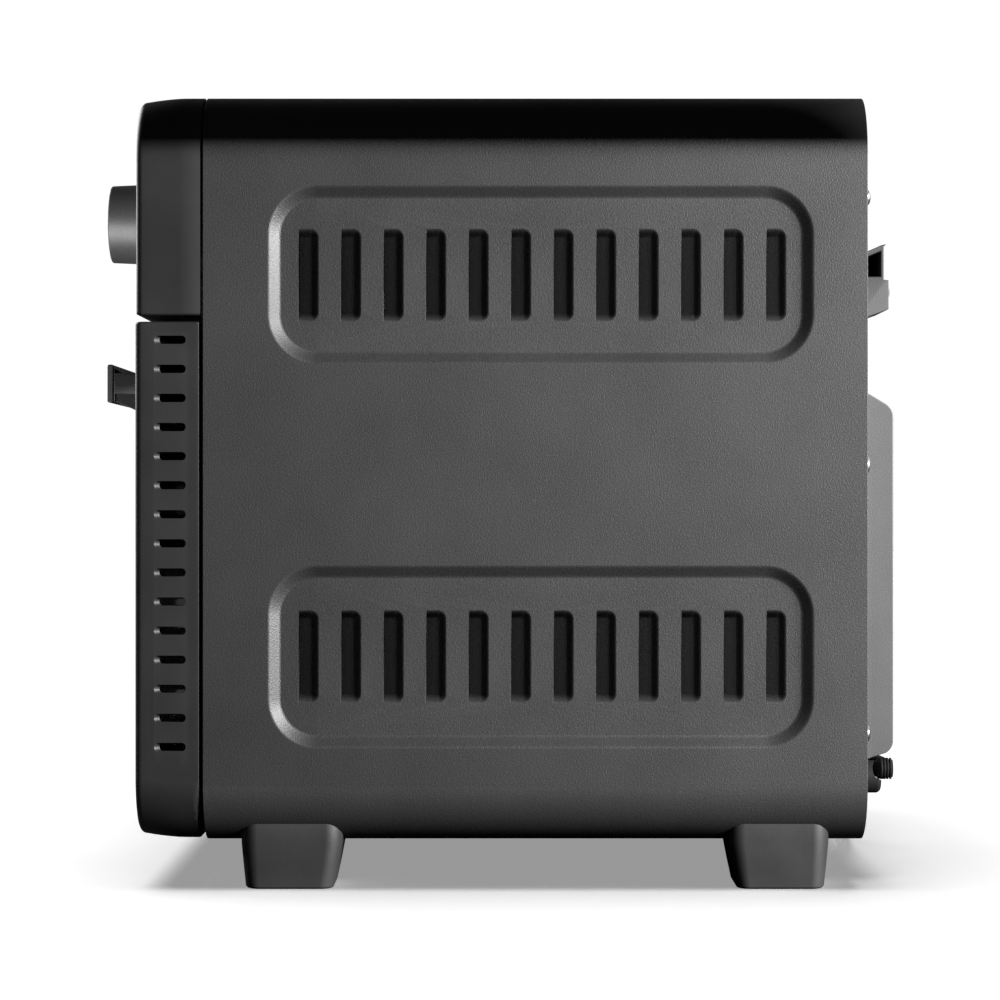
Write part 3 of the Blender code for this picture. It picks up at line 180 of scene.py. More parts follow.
def area_light(name, place, target, size, watts):
    data = bpy.data.lights.new(name, "AREA")
    data.shape = "RECTANGLE"
    data.size, data.size_y = size
    data.energy = watts
    light = added(name, data)
    light.location = place
    light.rotation_mode = "QUATERNION"
    light.rotation_quaternion = (Vector(target) - Vector(place)).to_track_quat("-Z", "Y")
    return light


def add_stage():
    """A pale floor that runs out of sight, a white surround, and soft lights. The floor has a
    light of its own and the lamps leave it out."""
    floor = simple_object("floor", floor_mesh(), floor_paint())
    add_overhead(floor, add_flag())
    lamps = [area_light(name, *lamp) for name, lamp in LAMPS.items()]
    off_floor = light_group("all_but_floor", [floor], "EXCLUDE")
    for lamp in lamps:
        lamp.light_linking.receiver_collection = off_floor
    add_front_light(off_floor)
    add_surround()


def add_overhead(floor, flag):
    """A soft light from above, for the floor only, which the flag doesn't block."""
    sky = bpy.data.lights.new("overhead", "SUN")
    sky.energy = SUN_STRENGTH
    sky.angle = math.radians(SUN_ANGLE)
    overhead = added("overhead", sky)
    overhead.rotation_euler = (*map(math.radians, SUN_TILT), 0)
    overhead.light_linking.receiver_collection = light_group("floor_only", [floor])
    overhead.light_linking.blocker_collection = light_group("past_flag", [flag], "EXCLUDE")


def add_front_light(off_floor):
    """A lamp under the floor's plane, for the knobs and the handle only."""
    fronts = [obj for obj in bpy.data.objects if obj.name.endswith(FRONT_LIT)]
    lamp = area_light("front_light", *FRONT_LAMP)
    lamp.light_linking.receiver_collection = light_group("front_lit", fronts)
    lamp.light_linking.blocker_collection = off_floor


def light_group(name, objects, state="INCLUDE"):
    """A collection for light linking, which takes these objects in or leaves them out."""
    group = bpy.data.collections.new(name)
    bpy.context.scene.collection.children.link(group)
    for index, obj in enumerate(objects):
        group.objects.link(obj)
        group.collection_objects[index].light_linking.link_state = state
    return group


def add_flag():
    """A black card beside the top edge, which keeps the key light off the rounded shoulder and
    the top. It is longer above, where it shades the top's far side."""
    bm = bmesh.new()
    for rear, low, high in FLAG_CARDS:
        corners = ((FLAG_FRONT, low), (rear, low), (rear, high), (FLAG_FRONT, high))
        bm.faces.new([bm.verts.new((SIDE_X + FLAG_OUT, y, z)) for y, z in corners])
    card = simple_object("flag", bm, paint("flag_cloth", grey(0.004), grey(0.006), (0.9, 1.0)))
    card.visible_camera = False
    return card


def add_surround():
    """White to the camera, and a faint ambient light to everything else."""
    world = bpy.data.worlds.new("studio")
    bpy.context.scene.world = world
    world.use_nodes = True
    nodes = world.node_tree.nodes
    links = world.node_tree.links
    nodes.clear()
    out = nodes.new("ShaderNodeOutputWorld")
    mix = nodes.new("ShaderNodeMixShader")
    for index, strength in ((1, AMBIENT), (2, BACKDROP)):
        glow = nodes.new("ShaderNodeBackground")
        glow.inputs["Color"].default_value = (1, 1, 1, 1)
        glow.inputs["Strength"].default_value = strength
        links.new(glow.outputs["Background"], mix.inputs[index])
    path = nodes.new("ShaderNodeLightPath")
    links.new(path.outputs["Is Camera Ray"], mix.inputs["Fac"])
    links.new(mix.outputs["Shader"], out.inputs["Surface"])
    bpy.context.scene.view_settings.view_transform = "Standard"


def floor_mesh():
    bm = bmesh.new()
    bmesh.ops.create_grid(bm, x_segments=8, y_segments=8, size=FLOOR_HALF)
    return bm


# ---------------- materials

MOTTLE_SHADE = 0.82
MOTTLE_AMOUNT = 0.45
EDGE_RANGE = (0.52, 0.60)


def noise(tree, coordinates, scale, detail=3.0, stretch=None):
    """The 0 to 1 factor of a noise texture, stretched along an axis for a brushed finish."""
    if stretch:
        mapping = tree.nodes.new("ShaderNodeMapping")
        mapping.inputs["Scale"].default_value = stretch
        tree.links.new(coordinates, mapping.inputs["Vector"])
        coordinates = mapping.outputs["Vector"]
    texture = tree.nodes.new("ShaderNodeTexNoise")
    texture.inputs["Scale"].default_value = scale
    texture.inputs["Detail"].default_value = detail
    tree.links.new(coordinates, texture.inputs["Vector"])
    return texture.outputs["Fac"]


def between(tree, factor, low, high, start=0.3, end=0.7):
    """Maps a factor's middle range to the range from low to high."""
    ranged = tree.nodes.new("ShaderNodeMapRange")
    ranged.inputs["From Min"].default_value = start
    ranged.inputs["From Max"].default_value = end
    ranged.inputs["To Min"].default_value = low
    ranged.inputs["To Max"].default_value = high
    tree.links.new(factor, ranged.inputs["Value"])
    return ranged.outputs["Result"]


def blend_colour(tree, factor, first, second):
    mix = tree.nodes.new("ShaderNodeMix")
    mix.data_type = "RGBA"
    tree.links.new(factor, mix.inputs[0])
    for index, colour in ((6, first), (7, second)):
        if isinstance(colour, tuple):
            mix.inputs[index].default_value = (*colour, 1)
        else:
            tree.links.new(colour, mix.inputs[index])
    return mix.outputs[2]


def paint(
    name, dark, light, roughness, metallic=0.0, speck=700.0, mottle=9.0, grain=None, brush=None,
    edge_tint=None, clear=0.0, through=0.0, bands=(), gloss=0.5,
):
    """A procedural finish. dark and light are the ends of its fine colour variation, roughness a
    (smoothest, roughest) pair, grain a (scale, height in metres) pair for moulded or coated
    texture, brush a (stretch, scale, height) triple, edge_tint a (colour, amount) pair that lightens
    the colour on convex edges, bands a list of further grains, and gloss the strength of the
    reflection."""
    made = bpy.data.materials.new(name)
    made.use_nodes = True
    tree = made.node_tree
    shader = tree.nodes["Principled BSDF"]
    shader.inputs["Metallic"].default_value = metallic
    shader.inputs["Coat Weight"].default_value = clear
    shader.inputs["Transmission Weight"].default_value = through
    shader.inputs["Specular IOR Level"].default_value = gloss
    place = tree.nodes.new("ShaderNodeTexCoord").outputs["Object"]
    fine = between(tree, noise(tree, place, speck), 0, 1)
    colour = blend_colour(tree, fine, dark, light)
    broad = noise(tree, place, mottle, 2.0)
    shade = tuple(c * MOTTLE_SHADE for c in dark)
    colour = blend_colour(tree, between(tree, broad, 0.0, MOTTLE_AMOUNT), colour, shade)
    # Convex edges, found by Pointiness, blend towards the given lighter colour
    if edge_tint:
        edges = tree.nodes.new("ShaderNodeNewGeometry").outputs["Pointiness"]
        edge_share = between(tree, edges, 0, edge_tint[1], *EDGE_RANGE)
        colour = blend_colour(tree, edge_share, colour, edge_tint[0])
    tree.links.new(colour, shader.inputs["Base Color"])
    smudges = noise(tree, place, mottle * 3, 4.0)
    tree.links.new(between(tree, smudges, *roughness), shader.inputs["Roughness"])
    heights = []
    if grain:
        heights.append((noise(tree, place, grain[0], 2.0), grain[1]))
    if brush:
        heights.append((noise(tree, place, brush[1], 2.0, brush[0]), brush[2]))
    for scale, height in bands:
        heights.append((noise(tree, place, scale, 1.0), height))
    normal = None
    for factor, height in heights:
        bump = tree.nodes.new("ShaderNodeBump")
        bump.inputs["Strength"].default_value = 1.0
        bump.inputs["Distance"].default_value = height
        tree.links.new(factor, bump.inputs["Height"])
        if normal:
            tree.links.new(normal, bump.inputs["Normal"])
        normal = bump.outputs["Normal"]
    if normal:
        tree.links.new(normal, shader.inputs["Normal"])
    return made


def grey(value, warm=0.0):
    return (value * (1 + warm), value, value * (1 - warm))


def floor_paint():
    """A pale matte floor to the camera, which throws only a little light back at the object."""
    made = paint("pale_floor", grey(0.86), grey(0.90), (0.75, 0.9), speck=60, mottle=3)
    tree = made.node_tree
    shader = tree.nodes["Principled BSDF"]
    shader.inputs["Emission Color"].default_value = (1, 1, 1, 1)
    shader.inputs["Emission Strength"].default_value = FLOOR_GLOW
    dim = tree.nodes.new("ShaderNodeBsdfDiffuse")
    dim.inputs["Color"].default_value = (*grey(FLOOR_BOUNCE), 1)
    mix = tree.nodes.new("ShaderNodeMixShader")
    path = tree.nodes.new("ShaderNodeLightPath")
    tree.links.new(path.outputs["Is Camera Ray"], mix.inputs["Fac"])
    tree.links.new(dim.outputs["BSDF"], mix.inputs[1])
    tree.links.new(shader.outputs["BSDF"], mix.inputs[2])
    tree.links.new(mix.outputs["Shader"], tree.nodes["Material Output"].inputs["Surface"])
    return made


def make_paints():
    """One finish for each kind of surface."""
    steel_edge_tint = (grey(0.45), 0.5)
    return {
        "coat": paint(
            "powder_coat", grey(0.011), grey(0.026), (0.46, 0.54), speck=1500, mottle=7,
            grain=(2100, 0.00012), bands=[(1150, 0.00007)], edge_tint=(grey(0.06), 0.5),
        ),
        "moulding": paint(
            "front_moulding", grey(0.008), grey(0.012), (0.44, 0.52), speck=2600, mottle=11,
            grain=(3800, 0.00003), edge_tint=(grey(0.05), 0.35),
        ),
        "knob": paint(
            "knob_satin", grey(0.17), grey(0.21), (0.44, 0.52), metallic=0.6, speck=900,
            brush=((1, 60, 1), 900, 0.00002), edge_tint=(grey(0.4), 0.3),
        ),
        "steel": paint(
            "plain_steel", grey(0.30), grey(0.38), (0.32, 0.42), metallic=1.0, speck=800,
            brush=((1, 40, 40), 160, 0.00002), edge_tint=steel_edge_tint,
        ),
        "handle": paint(
            "handle_metal", grey(0.006), grey(0.009), (0.42, 0.50), metallic=0.6, speck=1400,
            brush=((1, 50, 50), 120, 0.00002), edge_tint=(grey(0.30), 0.6),
        ),
        "galvanised": paint(
            "galvanised_sheet", grey(0.16), grey(0.22), (0.36, 0.52), metallic=0.7, speck=160,
            mottle=40, grain=(900, 0.00003), edge_tint=steel_edge_tint,
        ),
        "cover": paint(
            "satin_cover", grey(0.034), grey(0.044), (0.44, 0.52), metallic=0.3, speck=1600,
            mottle=9, grain=(1600, 0.00008), edge_tint=(grey(0.3), 0.3),
        ),
        "spacer": paint(
            "satin_spacer", grey(0.010), grey(0.014), (0.50, 0.58), speck=1600, mottle=12,
            grain=(1700, 0.00006), edge_tint=(grey(0.2), 0.3),
        ),
        "chrome": paint(
            "chromed_wire", grey(0.72), grey(0.80), (0.10, 0.20), metallic=1.0, speck=300,
            mottle=30, grain=(260, 0.00003),
        ),
        "enamel": paint(
            "dark_enamel", grey(0.040), grey(0.055), (0.20, 0.30), speck=2400, mottle=14,
            grain=(120, 0.00008), clear=0.3,
        ),
        "element": paint(
            "element_sheath", grey(0.16, 0.06), grey(0.24, 0.08), (0.45, 0.60), metallic=0.7,
            speck=700, mottle=50, grain=(1500, 0.00004),
        ),
        "ceramic": paint(
            "ceramic_end", grey(0.62, 0.03), grey(0.72, 0.03), (0.50, 0.65), speck=1300,
            grain=(1800, 0.00004),
        ),
        "plastic": paint(
            "dark_plastic", grey(0.016), grey(0.022), (0.42, 0.52), speck=1900, mottle=16,
            grain=(2600, 0.00004), edge_tint=(grey(0.07), 0.4),
        ),
        "rubber": paint(
            "black_rubber", grey(0.007), grey(0.011), (0.60, 0.75), speck=1200, mottle=20,
            grain=(1900, 0.00005), gloss=0.15,
        ),
        "cable": paint(
            "cord_jacket", grey(0.014), grey(0.019), (0.42, 0.52), speck=1500, mottle=25,
            grain=(1100, 0.00003),
        ),
        "nut": paint(
            "gland_nut", grey(0.36), grey(0.44), (0.40, 0.50), speck=1500, grain=(2000, 0.00003),
        ),
        "print": paint(
            "dial_print", grey(0.60), grey(0.68), (0.50, 0.60), speck=3000, grain=(3000, 0.00001),
        ),
        "glass": glass_paint("oven_glass", (0.10, 0.105, 0.11)),
        "clear": glass_paint("clear_glass", (0.86, 0.88, 0.88)),
        "lens": paint(
            "red_lens", (0.50, 0.02, 0.015), (0.60, 0.03, 0.02), (0.08, 0.14), speck=400,
            grain=(500, 0.00002), through=0.4, clear=0.5,
        ),
    }


def glass_paint(name, tint):
    return paint(
        name, tint, tuple(c * 1.04 for c in tint), (0.02, 0.05), speck=40, mottle=6,
        grain=(30, 0.00001), through=1.0,
    )


# ---------------- mesh helpers

WELD = 0.00001
FLAT_ANGLE = math.radians(0.6)


def simple_object(name, bm, finish):
    mesh = bpy.data.meshes.new(name)
    bm.normal_update()
    bm.to_mesh(mesh)
    bm.free()
    mesh.materials.append(finish)
    return added(name, mesh)


def baked(obj):
    """The object's mesh, with its modifiers applied."""
    bpy.context.view_layer.update()
    graph = bpy.context.evaluated_depsgraph_get()
    return bpy.data.meshes.new_from_object(obj.evaluated_get(graph))


def settle(obj, crease):
    """Applies the modifiers, then shades smooth up to the crease angle in degrees."""
    mesh = baked(obj)
    obj.modifiers.clear()
    obj.data = mesh
    mesh.shade_smooth()
    mesh.set_sharp_from_angle(angle=math.radians(crease))
    normals = obj.modifiers.new("normals", "WEIGHTED_NORMAL")
    normals.keep_sharp = True
    normals.weight = 80
    return obj


def round_edges(obj, width, segments=2, angle=40.0, clamp=False):
    bevel = obj.modifiers.new("edges", "BEVEL")
    bevel.width = width
    bevel.segments = segments
    bevel.limit_method = "ANGLE"
    bevel.angle_limit = math.radians(angle)
    bevel.use_clamp_overlap = clamp
    bevel.harden_normals = False
    return obj


def cut(obj, cutter, operation="DIFFERENCE"):
    """Takes the cutter away from the object, or joins it, and removes the cutter."""
    boolean = obj.modifiers.new("cut", "BOOLEAN")
    boolean.operation = operation
    boolean.object = cutter
    mesh = baked(obj)
    obj.modifiers.clear()
    obj.data = mesh
    bpy.data.objects.remove(cutter)
    return obj


def rounded(left, right, low, high, radii, steps=12):
    """Points of a rectangle with its own radius at each corner, from the lower left one on."""
    points = []
    corners = ((left, low, 180), (right, low, 270), (right, high, 0), (left, high, 90))
    for (u, v, start), radius in zip(corners, radii):
        centre_u = u + radius if u == left else u - radius
        centre_v = v + radius if v == low else v - radius
        for i in range(steps + 1):
            angle = math.radians(start + 90 * i / steps)
            points.append((centre_u + radius * math.cos(angle), centre_v + radius * math.sin(angle)))
    return points


def rounded_about(centre, half_x, half_z, corner, steps):
    """A rounded rectangle in X and Z, with its middle at the centre."""
    return rounded(
        centre.x - half_x, centre.x + half_x, centre.z - half_z, centre.z + half_z, (corner,) * 4, steps
    )


def round_part(node):
    """The corners, middle and radius of a part whose axis is Y."""
    low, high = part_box(node)
    return low, high, (low + high) / 2, (high.x - low.x) / 2


def facing_front(place):
    """Turns a shape made in X and Y to face the front, at a place."""
    return Matrix.Translation(place) @ Matrix.Rotation(math.pi / 2, 4, "X")


def at(axis, along, u, v):
    return {"X": (along, u, v), "Y": (u, along, v), "Z": (u, v, along)}[axis]


def add_loft(bm, axis, sections, caps=(True, True)):
    """Skins outlines of the same length, each at its own place along the axis."""
    rings = [[bm.verts.new(at(axis, along, u, v)) for u, v in outline] for along, outline in sections]
    faces = []
    for first, second in zip(rings, rings[1:]):
        for i in range(len(first)):
            j = (i + 1) % len(first)
            faces.append(bm.faces.new((first[i], first[j], second[j], second[i])))
    if caps[0]:
        faces.append(bm.faces.new(rings[0]))
    if caps[1]:
        faces.append(bm.faces.new(rings[-1]))
    bmesh.ops.recalc_face_normals(bm, faces=faces)


def loft(name, axis, sections, finish, caps=(True, True)):
    bm = bmesh.new()
    add_loft(bm, axis, sections, caps)
    return simple_object(name, bm, finish)


def prism(name, axis, low, high, outline, finish):
    return loft(name, axis, ((low, outline), (high, outline)), finish)


def add_rod(bm, radius, length, place):
    bmesh.ops.create_cone(
        bm, cap_ends=True, segments=48, radius1=radius, radius2=radius, depth=length, matrix=place
    )


def turned(name, profile, place, axis, finish, steps=64):
    """Spins (radius, height) points round an axis through place, both ends of them on the axis."""
    bm = bmesh.new()
    spin = Vector((0, 0, 1)).rotation_difference(Vector(axis)).to_matrix().to_4x4()
    spin = Matrix.Translation(place) @ spin
    rings = []
    for radius, height in profile:
        if radius < 1e-7:
            rings.append([bm.verts.new(spin @ Vector((0, 0, height)))])
            continue
        ring = []
        for i in range(steps):
            angle = 2 * math.pi * i / steps
            point = Vector((radius * math.cos(angle), radius * math.sin(angle), height))
            ring.append(bm.verts.new(spin @ point))
        rings.append(ring)
    for first, second in zip(rings, rings[1:]):
        for i in range(steps):
            j = (i + 1) % steps
            corners = [first[i % len(first)], first[j % len(first)]]
            corners += [second[j % len(second)], second[i % len(second)]]
            unique = list(dict.fromkeys(corners))
            if len(unique) > 2:
                bm.faces.new(unique)
    bmesh.ops.recalc_face_normals(bm, faces=bm.faces[:])
    return simple_object(name, bm, finish)


def wire(name, lines, radius, finish, sides=4, smooth=False):
    """Round wires along lists of points. Each list is (points, closed)."""
    data = bpy.data.curves.new(name, "CURVE")
    data.dimensions = "3D"
    data.bevel_depth = radius
    data.bevel_resolution = sides
    data.use_fill_caps = True
    data.resolution_u = 8
    for points, closed in lines:
        spline = data.splines.new("NURBS" if smooth else "POLY")
        spline.points.add(len(points) - 1)
        for knot, point in zip(spline.points, points):
            knot.co = (*point, 1)
        spline.use_cyclic_u = closed
        if smooth:
            spline.order_u = 4
            spline.use_endpoint_u = True
    data.materials.append(finish)
    return added(name, data)


def stand_for(obj, body, slot, *nodes):
    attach(obj, body)
    if nodes:
        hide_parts(*nodes)
    return obj


def placed(obj, crease, body, slot, *nodes):
    """Settles a finished shape, and lets it ride on its body in place of any CAD nodes."""
    settle(obj, crease)
    return stand_for(obj, body, slot, *nodes)


def refined(node, finish, slot, width):
    """A CAD solid with its flat faces made whole, and its edges rounded."""
    bm = bmesh.new()
    bm.from_mesh(NODES[node].data)
    bmesh.ops.remove_doubles(bm, verts=bm.verts[:], dist=WELD)
    bmesh.ops.dissolve_limit(bm, angle_limit=FLAT_ANGLE, verts=bm.verts[:], edges=bm.edges[:])
    obj = simple_object(node + "_fine", bm, finish)
    if width:
        round_edges(obj, width)
    return placed(obj, 32, NODES[node]["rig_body"], slot, node)


# ---------------- outer wrap


def ease(t):
    t = min(max(t, 0.0), 1.0)
    return t * t * (3 - 2 * t)


def slope_shape(t):
    """A straight slope with a short rounded bend at each end."""
    bend = SLOPE_BEND
    t = min(max(t, 0.0), 1.0)
    straight = 1 - bend
    if t < bend:
        return t * t / (2 * bend * straight)
    if t > 1 - bend:
        return 1 - (1 - t) ** 2 / (2 * bend * straight)
    return (t - bend / 2) / straight


def field_ring(bm, side, low, high, inset, depth):
    radius = FIELD_CORNER - inset
    outline = rounded(
        FIELD_FRONT + inset, FIELD_REAR - inset, low + inset, high - inset, (radius,) * 4, 14
    )
    return [bm.verts.new((side * (SIDE_X - depth), y, z)) for y, z in outline]


def louvre_ring(bm, side, y, z, inset, depth):
    """The line at one distance inside a louvre's edge: open at its front end, where it is sheared.
    The blade tilts inward towards that open end."""
    radius = LOUVRE_CORNER - inset
    flat = LOUVRE_LENGTH - LOUVRE_BEND
    tilt = LOUVRE_TILT * ease(inset / LOUVRE_BEND) / flat
    rear = y + LOUVRE_LENGTH - inset
    low = z - LOUVRE_HALF + inset
    high = z + LOUVRE_HALF - inset
    points = [(y, low)]
    for start, centre_z in ((270, low + radius), (0, high - radius)):
        for i in range(9):
            angle = math.radians(start + 90 * i / 8)
            u = rear - radius + radius * math.cos(angle)
            points.append((u, centre_z + radius * math.sin(angle)))
    points.append((y, high))
    ring = []
    for u, v in points:
        drop = depth + tilt * max(y + flat - u, 0.0)
        ring.append(bm.verts.new((side * (SIDE_X - drop), u, v)))
    return ring


def bridge(bm, first, second, closed=True):
    count = len(first)
    for i in range(count if closed else count - 1):
        j = (i + 1) % count
        bm.faces.new((first[i], first[j], second[j], second[i]))


def fill(bm, loops):
    """Fills the flat region between closed loops of vertices."""
    edges = []
    for loop in loops:
        for i, vert in enumerate(loop):
            pair = (vert, loop[(i + 1) % len(loop)])
            edges.append(bm.edges.get(pair) or bm.edges.new(pair))
    bmesh.ops.triangle_fill(bm, use_beauty=True, use_dissolve=False, edges=edges)


def louvre(bm, side, y, z):
    outer = louvre_ring(bm, side, y, z, 0.0, FIELD_DEPTH)
    ring = outer
    for inset in LOUVRE_INSETS:
        drop = LOUVRE_DROP * ease(inset / LOUVRE_BEND)
        inner = louvre_ring(bm, side, y, z, inset, FIELD_DEPTH + drop)
        bridge(bm, ring, inner, closed=False)
        ring = inner
    bm.faces.new(ring)
    return outer


def side_panel(bm, side, corners):
    """One side of the wrap, between its four corner vertices."""
    outer_rings = []
    for low, high in FIELD_HEIGHTS:
        ring = field_ring(bm, side, low, high, 0.0, 0.0)
        outer_rings.append(ring)
        for step in range(1, SLOPE_STEPS + 1):
            t = step / SLOPE_STEPS
            inner = field_ring(bm, side, low, high, FIELD_SLOPE * t, FIELD_DEPTH * slope_shape(t))
            bridge(bm, ring, inner)
            ring = inner
        holes = []
        for i in range(LOUVRES):
            holes.append(louvre(bm, side, LOUVRE_FIRST + i * LOUVRE_PITCH, (low + high) / 2))
        fill(bm, [ring, *holes])
    fill(bm, [corners, *outer_rings])


def outer_wrap(paints):
    """One sheet folded round the top, the sides and the lower edges, with pressed, louvred sides."""
    bm = bmesh.new()
    outline = rounded(-SIDE_X, SIDE_X, WRAP_LOW.z, WRAP_HIGH.z, (CORNER,) * 4, 20)
    quarter = len(outline) // 4
    profile = [(-FLANGE_X, WRAP_LOW.z)] + outline[:quarter][::-1]
    profile += outline[quarter * 3:][::-1] + outline[quarter * 2:quarter * 3][::-1]
    profile += outline[quarter:quarter * 2][::-1] + [(FLANGE_X, WRAP_LOW.z)]
    front = [bm.verts.new((x, WRAP_LOW.y, z)) for x, z in profile]
    rear = [bm.verts.new((x, WRAP_HIGH.y, z)) for x, z in profile]
    flats = (quarter, quarter * 3)
    for i in range(len(profile) - 1):
        if i not in flats:
            bm.faces.new((front[i], front[i + 1], rear[i + 1], rear[i]))
    for side, i in zip((-1, 1), flats):
        side_panel(bm, side, [front[i], front[i + 1], rear[i + 1], rear[i]])
    bmesh.ops.recalc_face_normals(bm, faces=bm.faces[:])
    bm.normal_update()
    top = max(bm.faces, key=lambda face: face.calc_center_median().z)
    if top.normal.z < 0:
        bmesh.ops.reverse_faces(bm, faces=bm.faces[:])
    wrap = simple_object("outer_wrap_sheet", bm, paints["coat"])
    sheet = wrap.modifiers.new("sheet", "SOLIDIFY")
    sheet.thickness = SHEET
    sheet.offset = -1.0
    round_edges(wrap, 0.00028, 2, 60)
    return placed(wrap, 40, "root", "coat", "outer_wrap")


# ---------------- cord


def cord_points():
    points = [Vector(point) for point in CORD_ROUTE]
    for i in range(1, round(COIL_TURNS * COIL_STEPS) + 1):
        turns = i / COIL_STEPS
        angle = math.pi / 2 + 2 * math.pi * turns
        height = COIL_LOW + (COIL_HIGH - COIL_LOW) * ease((turns - 0.92) / 0.35)
        x = COIL_CENTRE[0] + COIL_RADIUS * math.cos(angle)
        y = COIL_CENTRE[1] + COIL_RADIUS * math.sin(angle)
        points.append(Vector((x, y, height)))
    for back in (0.010, 0.020, 0.0245):
        points.append(Vector((COIL_CENTRE[0] - COIL_RADIUS, COIL_CENTRE[1] - back, COIL_HIGH)))
    return points


def power_cord(paints):
    cord = wire("cord", [(cord_points(), False)], CORD_RADIUS, paints["cable"], 6, smooth=True)
    stand_for(cord, "root", "rubber", "power_cord", "cord_coil")
    return cord


# ---------------- front: panel, knobs and dials

FRONT_ROUND = 0.0033
FACE_DROP = 0.0019
SHAPE_START = 0.0211
NEAR_GAP_ROUND = 0.30
PANEL_JOINT = 0.0010
PANEL_WALL = 0.0025
BORE_DEPTH = 0.016
POINTER_HALF = 0.0007
TICK_START = 0.0232
TICK_LONG = 0.0030
TICK_SHORT = 0.0016
LABEL_RADIUS = 0.0302
LABEL_SIZE = 0.0052
LENS_DOME = 0.0016
DIAL_HOLES = {
    "shaft_temperature": 0.0033,
    "shaft_function": 0.0033,
    "shaft_timer": 0.0033,
    "indicator_lens": 0.0038,
}
KNOB_PROFILE = (
    (0.0, 1.0),
    (0.30, 0.993),
    (0.60, 0.973),
    (0.80, 0.951),
    (0.885, 0.940),
    (0.900, 0.934),
    (0.930, 0.932),
    (0.950, 0.924),
    (0.962, 0.908),
    (0.967, 0.880),
    (0.972, 0.780),
    (0.985, 0.500),
    (0.995, 0.250),
    (1.0, 0.070),
    (0.996, 0.050),
    (0.980, 0.040),
    (0.975, 0.0155),
    (0.0, 0.0155),
)
DIALS = {
    "temperature": (270, 25, ("0", "60", "120", "180", "240")),
    "function": (240, 5, ("0", "1", "2", "3", "4")),
    "timer": (330, 13, ("0", "15", "30", "45", "60", "75", "90")),
}


def front_sections(outline, face, rear):
    """Sections from the rear to the front face: the top or bottom falls away towards the rounded
    front edge. outline takes (inset, drop)."""
    sections = [(rear, outline(0.0, 0.0)), (face + SHAPE_START, outline(0.0, 0.0))]
    steps = 6
    for i in range(1, steps):
        t = i / steps
        y = face + SHAPE_START + (FRONT_ROUND - SHAPE_START) * t
        sections.append((y, outline(0.0, FACE_DROP * t ** 1.6)))
    for i in range(7):
        angle = math.radians(15 * i)
        inset = FRONT_ROUND * (1 - math.cos(angle))
        sections.append((face + FRONT_ROUND * (1 - math.sin(angle)), outline(inset, FACE_DROP)))
    return sections


def panel_outline(inset, drop):
    corner = CORNER - inset
    return rounded(
        PANEL_LOW.x + inset,
        PANEL_HIGH.x - inset,
        PANEL_LOW.z + inset * NEAR_GAP_ROUND,
        PANEL_HIGH.z - drop - inset,
        (0.0012, 0.0012, corner, corner),
        16,
    )


def control_panel(paints):
    panel = loft(
        "control_panel_moulding",
        "Y",
        front_sections(panel_outline, PANEL_LOW.y, PANEL_HIGH.y - PANEL_JOINT),
        paints["moulding"],
        caps=(False, True),
    )
    wall = panel.modifiers.new("wall", "SOLIDIFY")
    wall.thickness = PANEL_WALL
    wall.offset = -1.0
    settle(panel, 30)
    bores = bmesh.new()
    for node, radius in DIAL_HOLES.items():
        centre = middle(node)
        place = facing_front((centre.x, PANEL_LOW.y, centre.z))
        add_rod(bores, radius, BORE_DEPTH, place)
    cut(panel, simple_object("panel_bores", bores, paints["moulding"]))
    return placed(panel, 34, "root", "moulding", "control_panel")


def knob(name, paints):
    """A turned knob with a slight draft, a domed cap with a rounded rim, and a pointer line."""
    node = "knob_" + name
    low, _, centre, radius = round_part(node)
    length = PANEL_LOW.y - low.y
    profile = [(r * radius, h * length) for r, h in KNOB_PROFILE]
    place = (centre.x, PANEL_LOW.y, centre.z)
    made = turned(node + "_cap", profile, place, (0, -1, 0), paints["knob"], 128)
    groove = rounded(
        centre.x - POINTER_HALF, centre.x + POINTER_HALF,
        centre.z + radius * 0.42, centre.z + radius * 0.86, (0.0006,) * 4, 6,
    )
    cut(made, prism("pointer_groove", "Y", low.y - 0.002, low.y + 0.0017, groove, paints["knob"]))
    placed(made, 30, name + "_knob", "knob", node)
    line = prism(node + "_pointer", "Y", low.y + 0.0012, low.y + 0.0018, groove, paints["print"])
    placed(line, 30, name + "_knob", "knob")


def dial_marks(paints):
    """Printed ticks and plain numbers round each knob."""
    bm = bmesh.new()
    face = PANEL_LOW.y
    for name, (span, count, labels) in DIALS.items():
        centre = middle("knob_" + name)
        for i in range(count):
            angle = math.radians(90 - span * i / (count - 1))
            long = i % ((count - 1) // (len(labels) - 1)) == 0
            size = (TICK_LONG if long else TICK_SHORT, 0.00006, 0.0004)
            radius = TICK_START + size[0] / 2
            place = Matrix.Translation((centre.x, face, centre.z))
            place = place @ Matrix.Rotation(-angle, 4, "Y") @ Matrix.Translation((radius, 0, 0))
            bmesh.ops.create_cube(bm, size=1.0, matrix=place @ Matrix.Diagonal((*size, 1)))
        for i, text in enumerate(labels):
            angle = math.radians(90 - span * i / (len(labels) - 1))
            x = centre.x + LABEL_RADIUS * math.cos(angle)
            add_text(bm, text, (x, face, centre.z + LABEL_RADIUS * math.sin(angle)))
    marks = simple_object("dial_marks", bm, paints["print"])
    return stand_for(marks, "root", "moulding")


def add_text(bm, text, spot):
    """Adds a flat number, centred on the spot and read from the front."""
    data = bpy.data.curves.new("number", "FONT")
    data.body = text
    data.size = LABEL_SIZE
    data.align_x = "CENTER"
    data.align_y = "CENTER"
    data.extrude = 0.00003
    data.resolution_u = 3
    holder = added("number", data)
    mesh = baked(holder)
    mesh.transform(facing_front(spot))
    bm.from_mesh(mesh)
    bpy.data.objects.remove(holder)


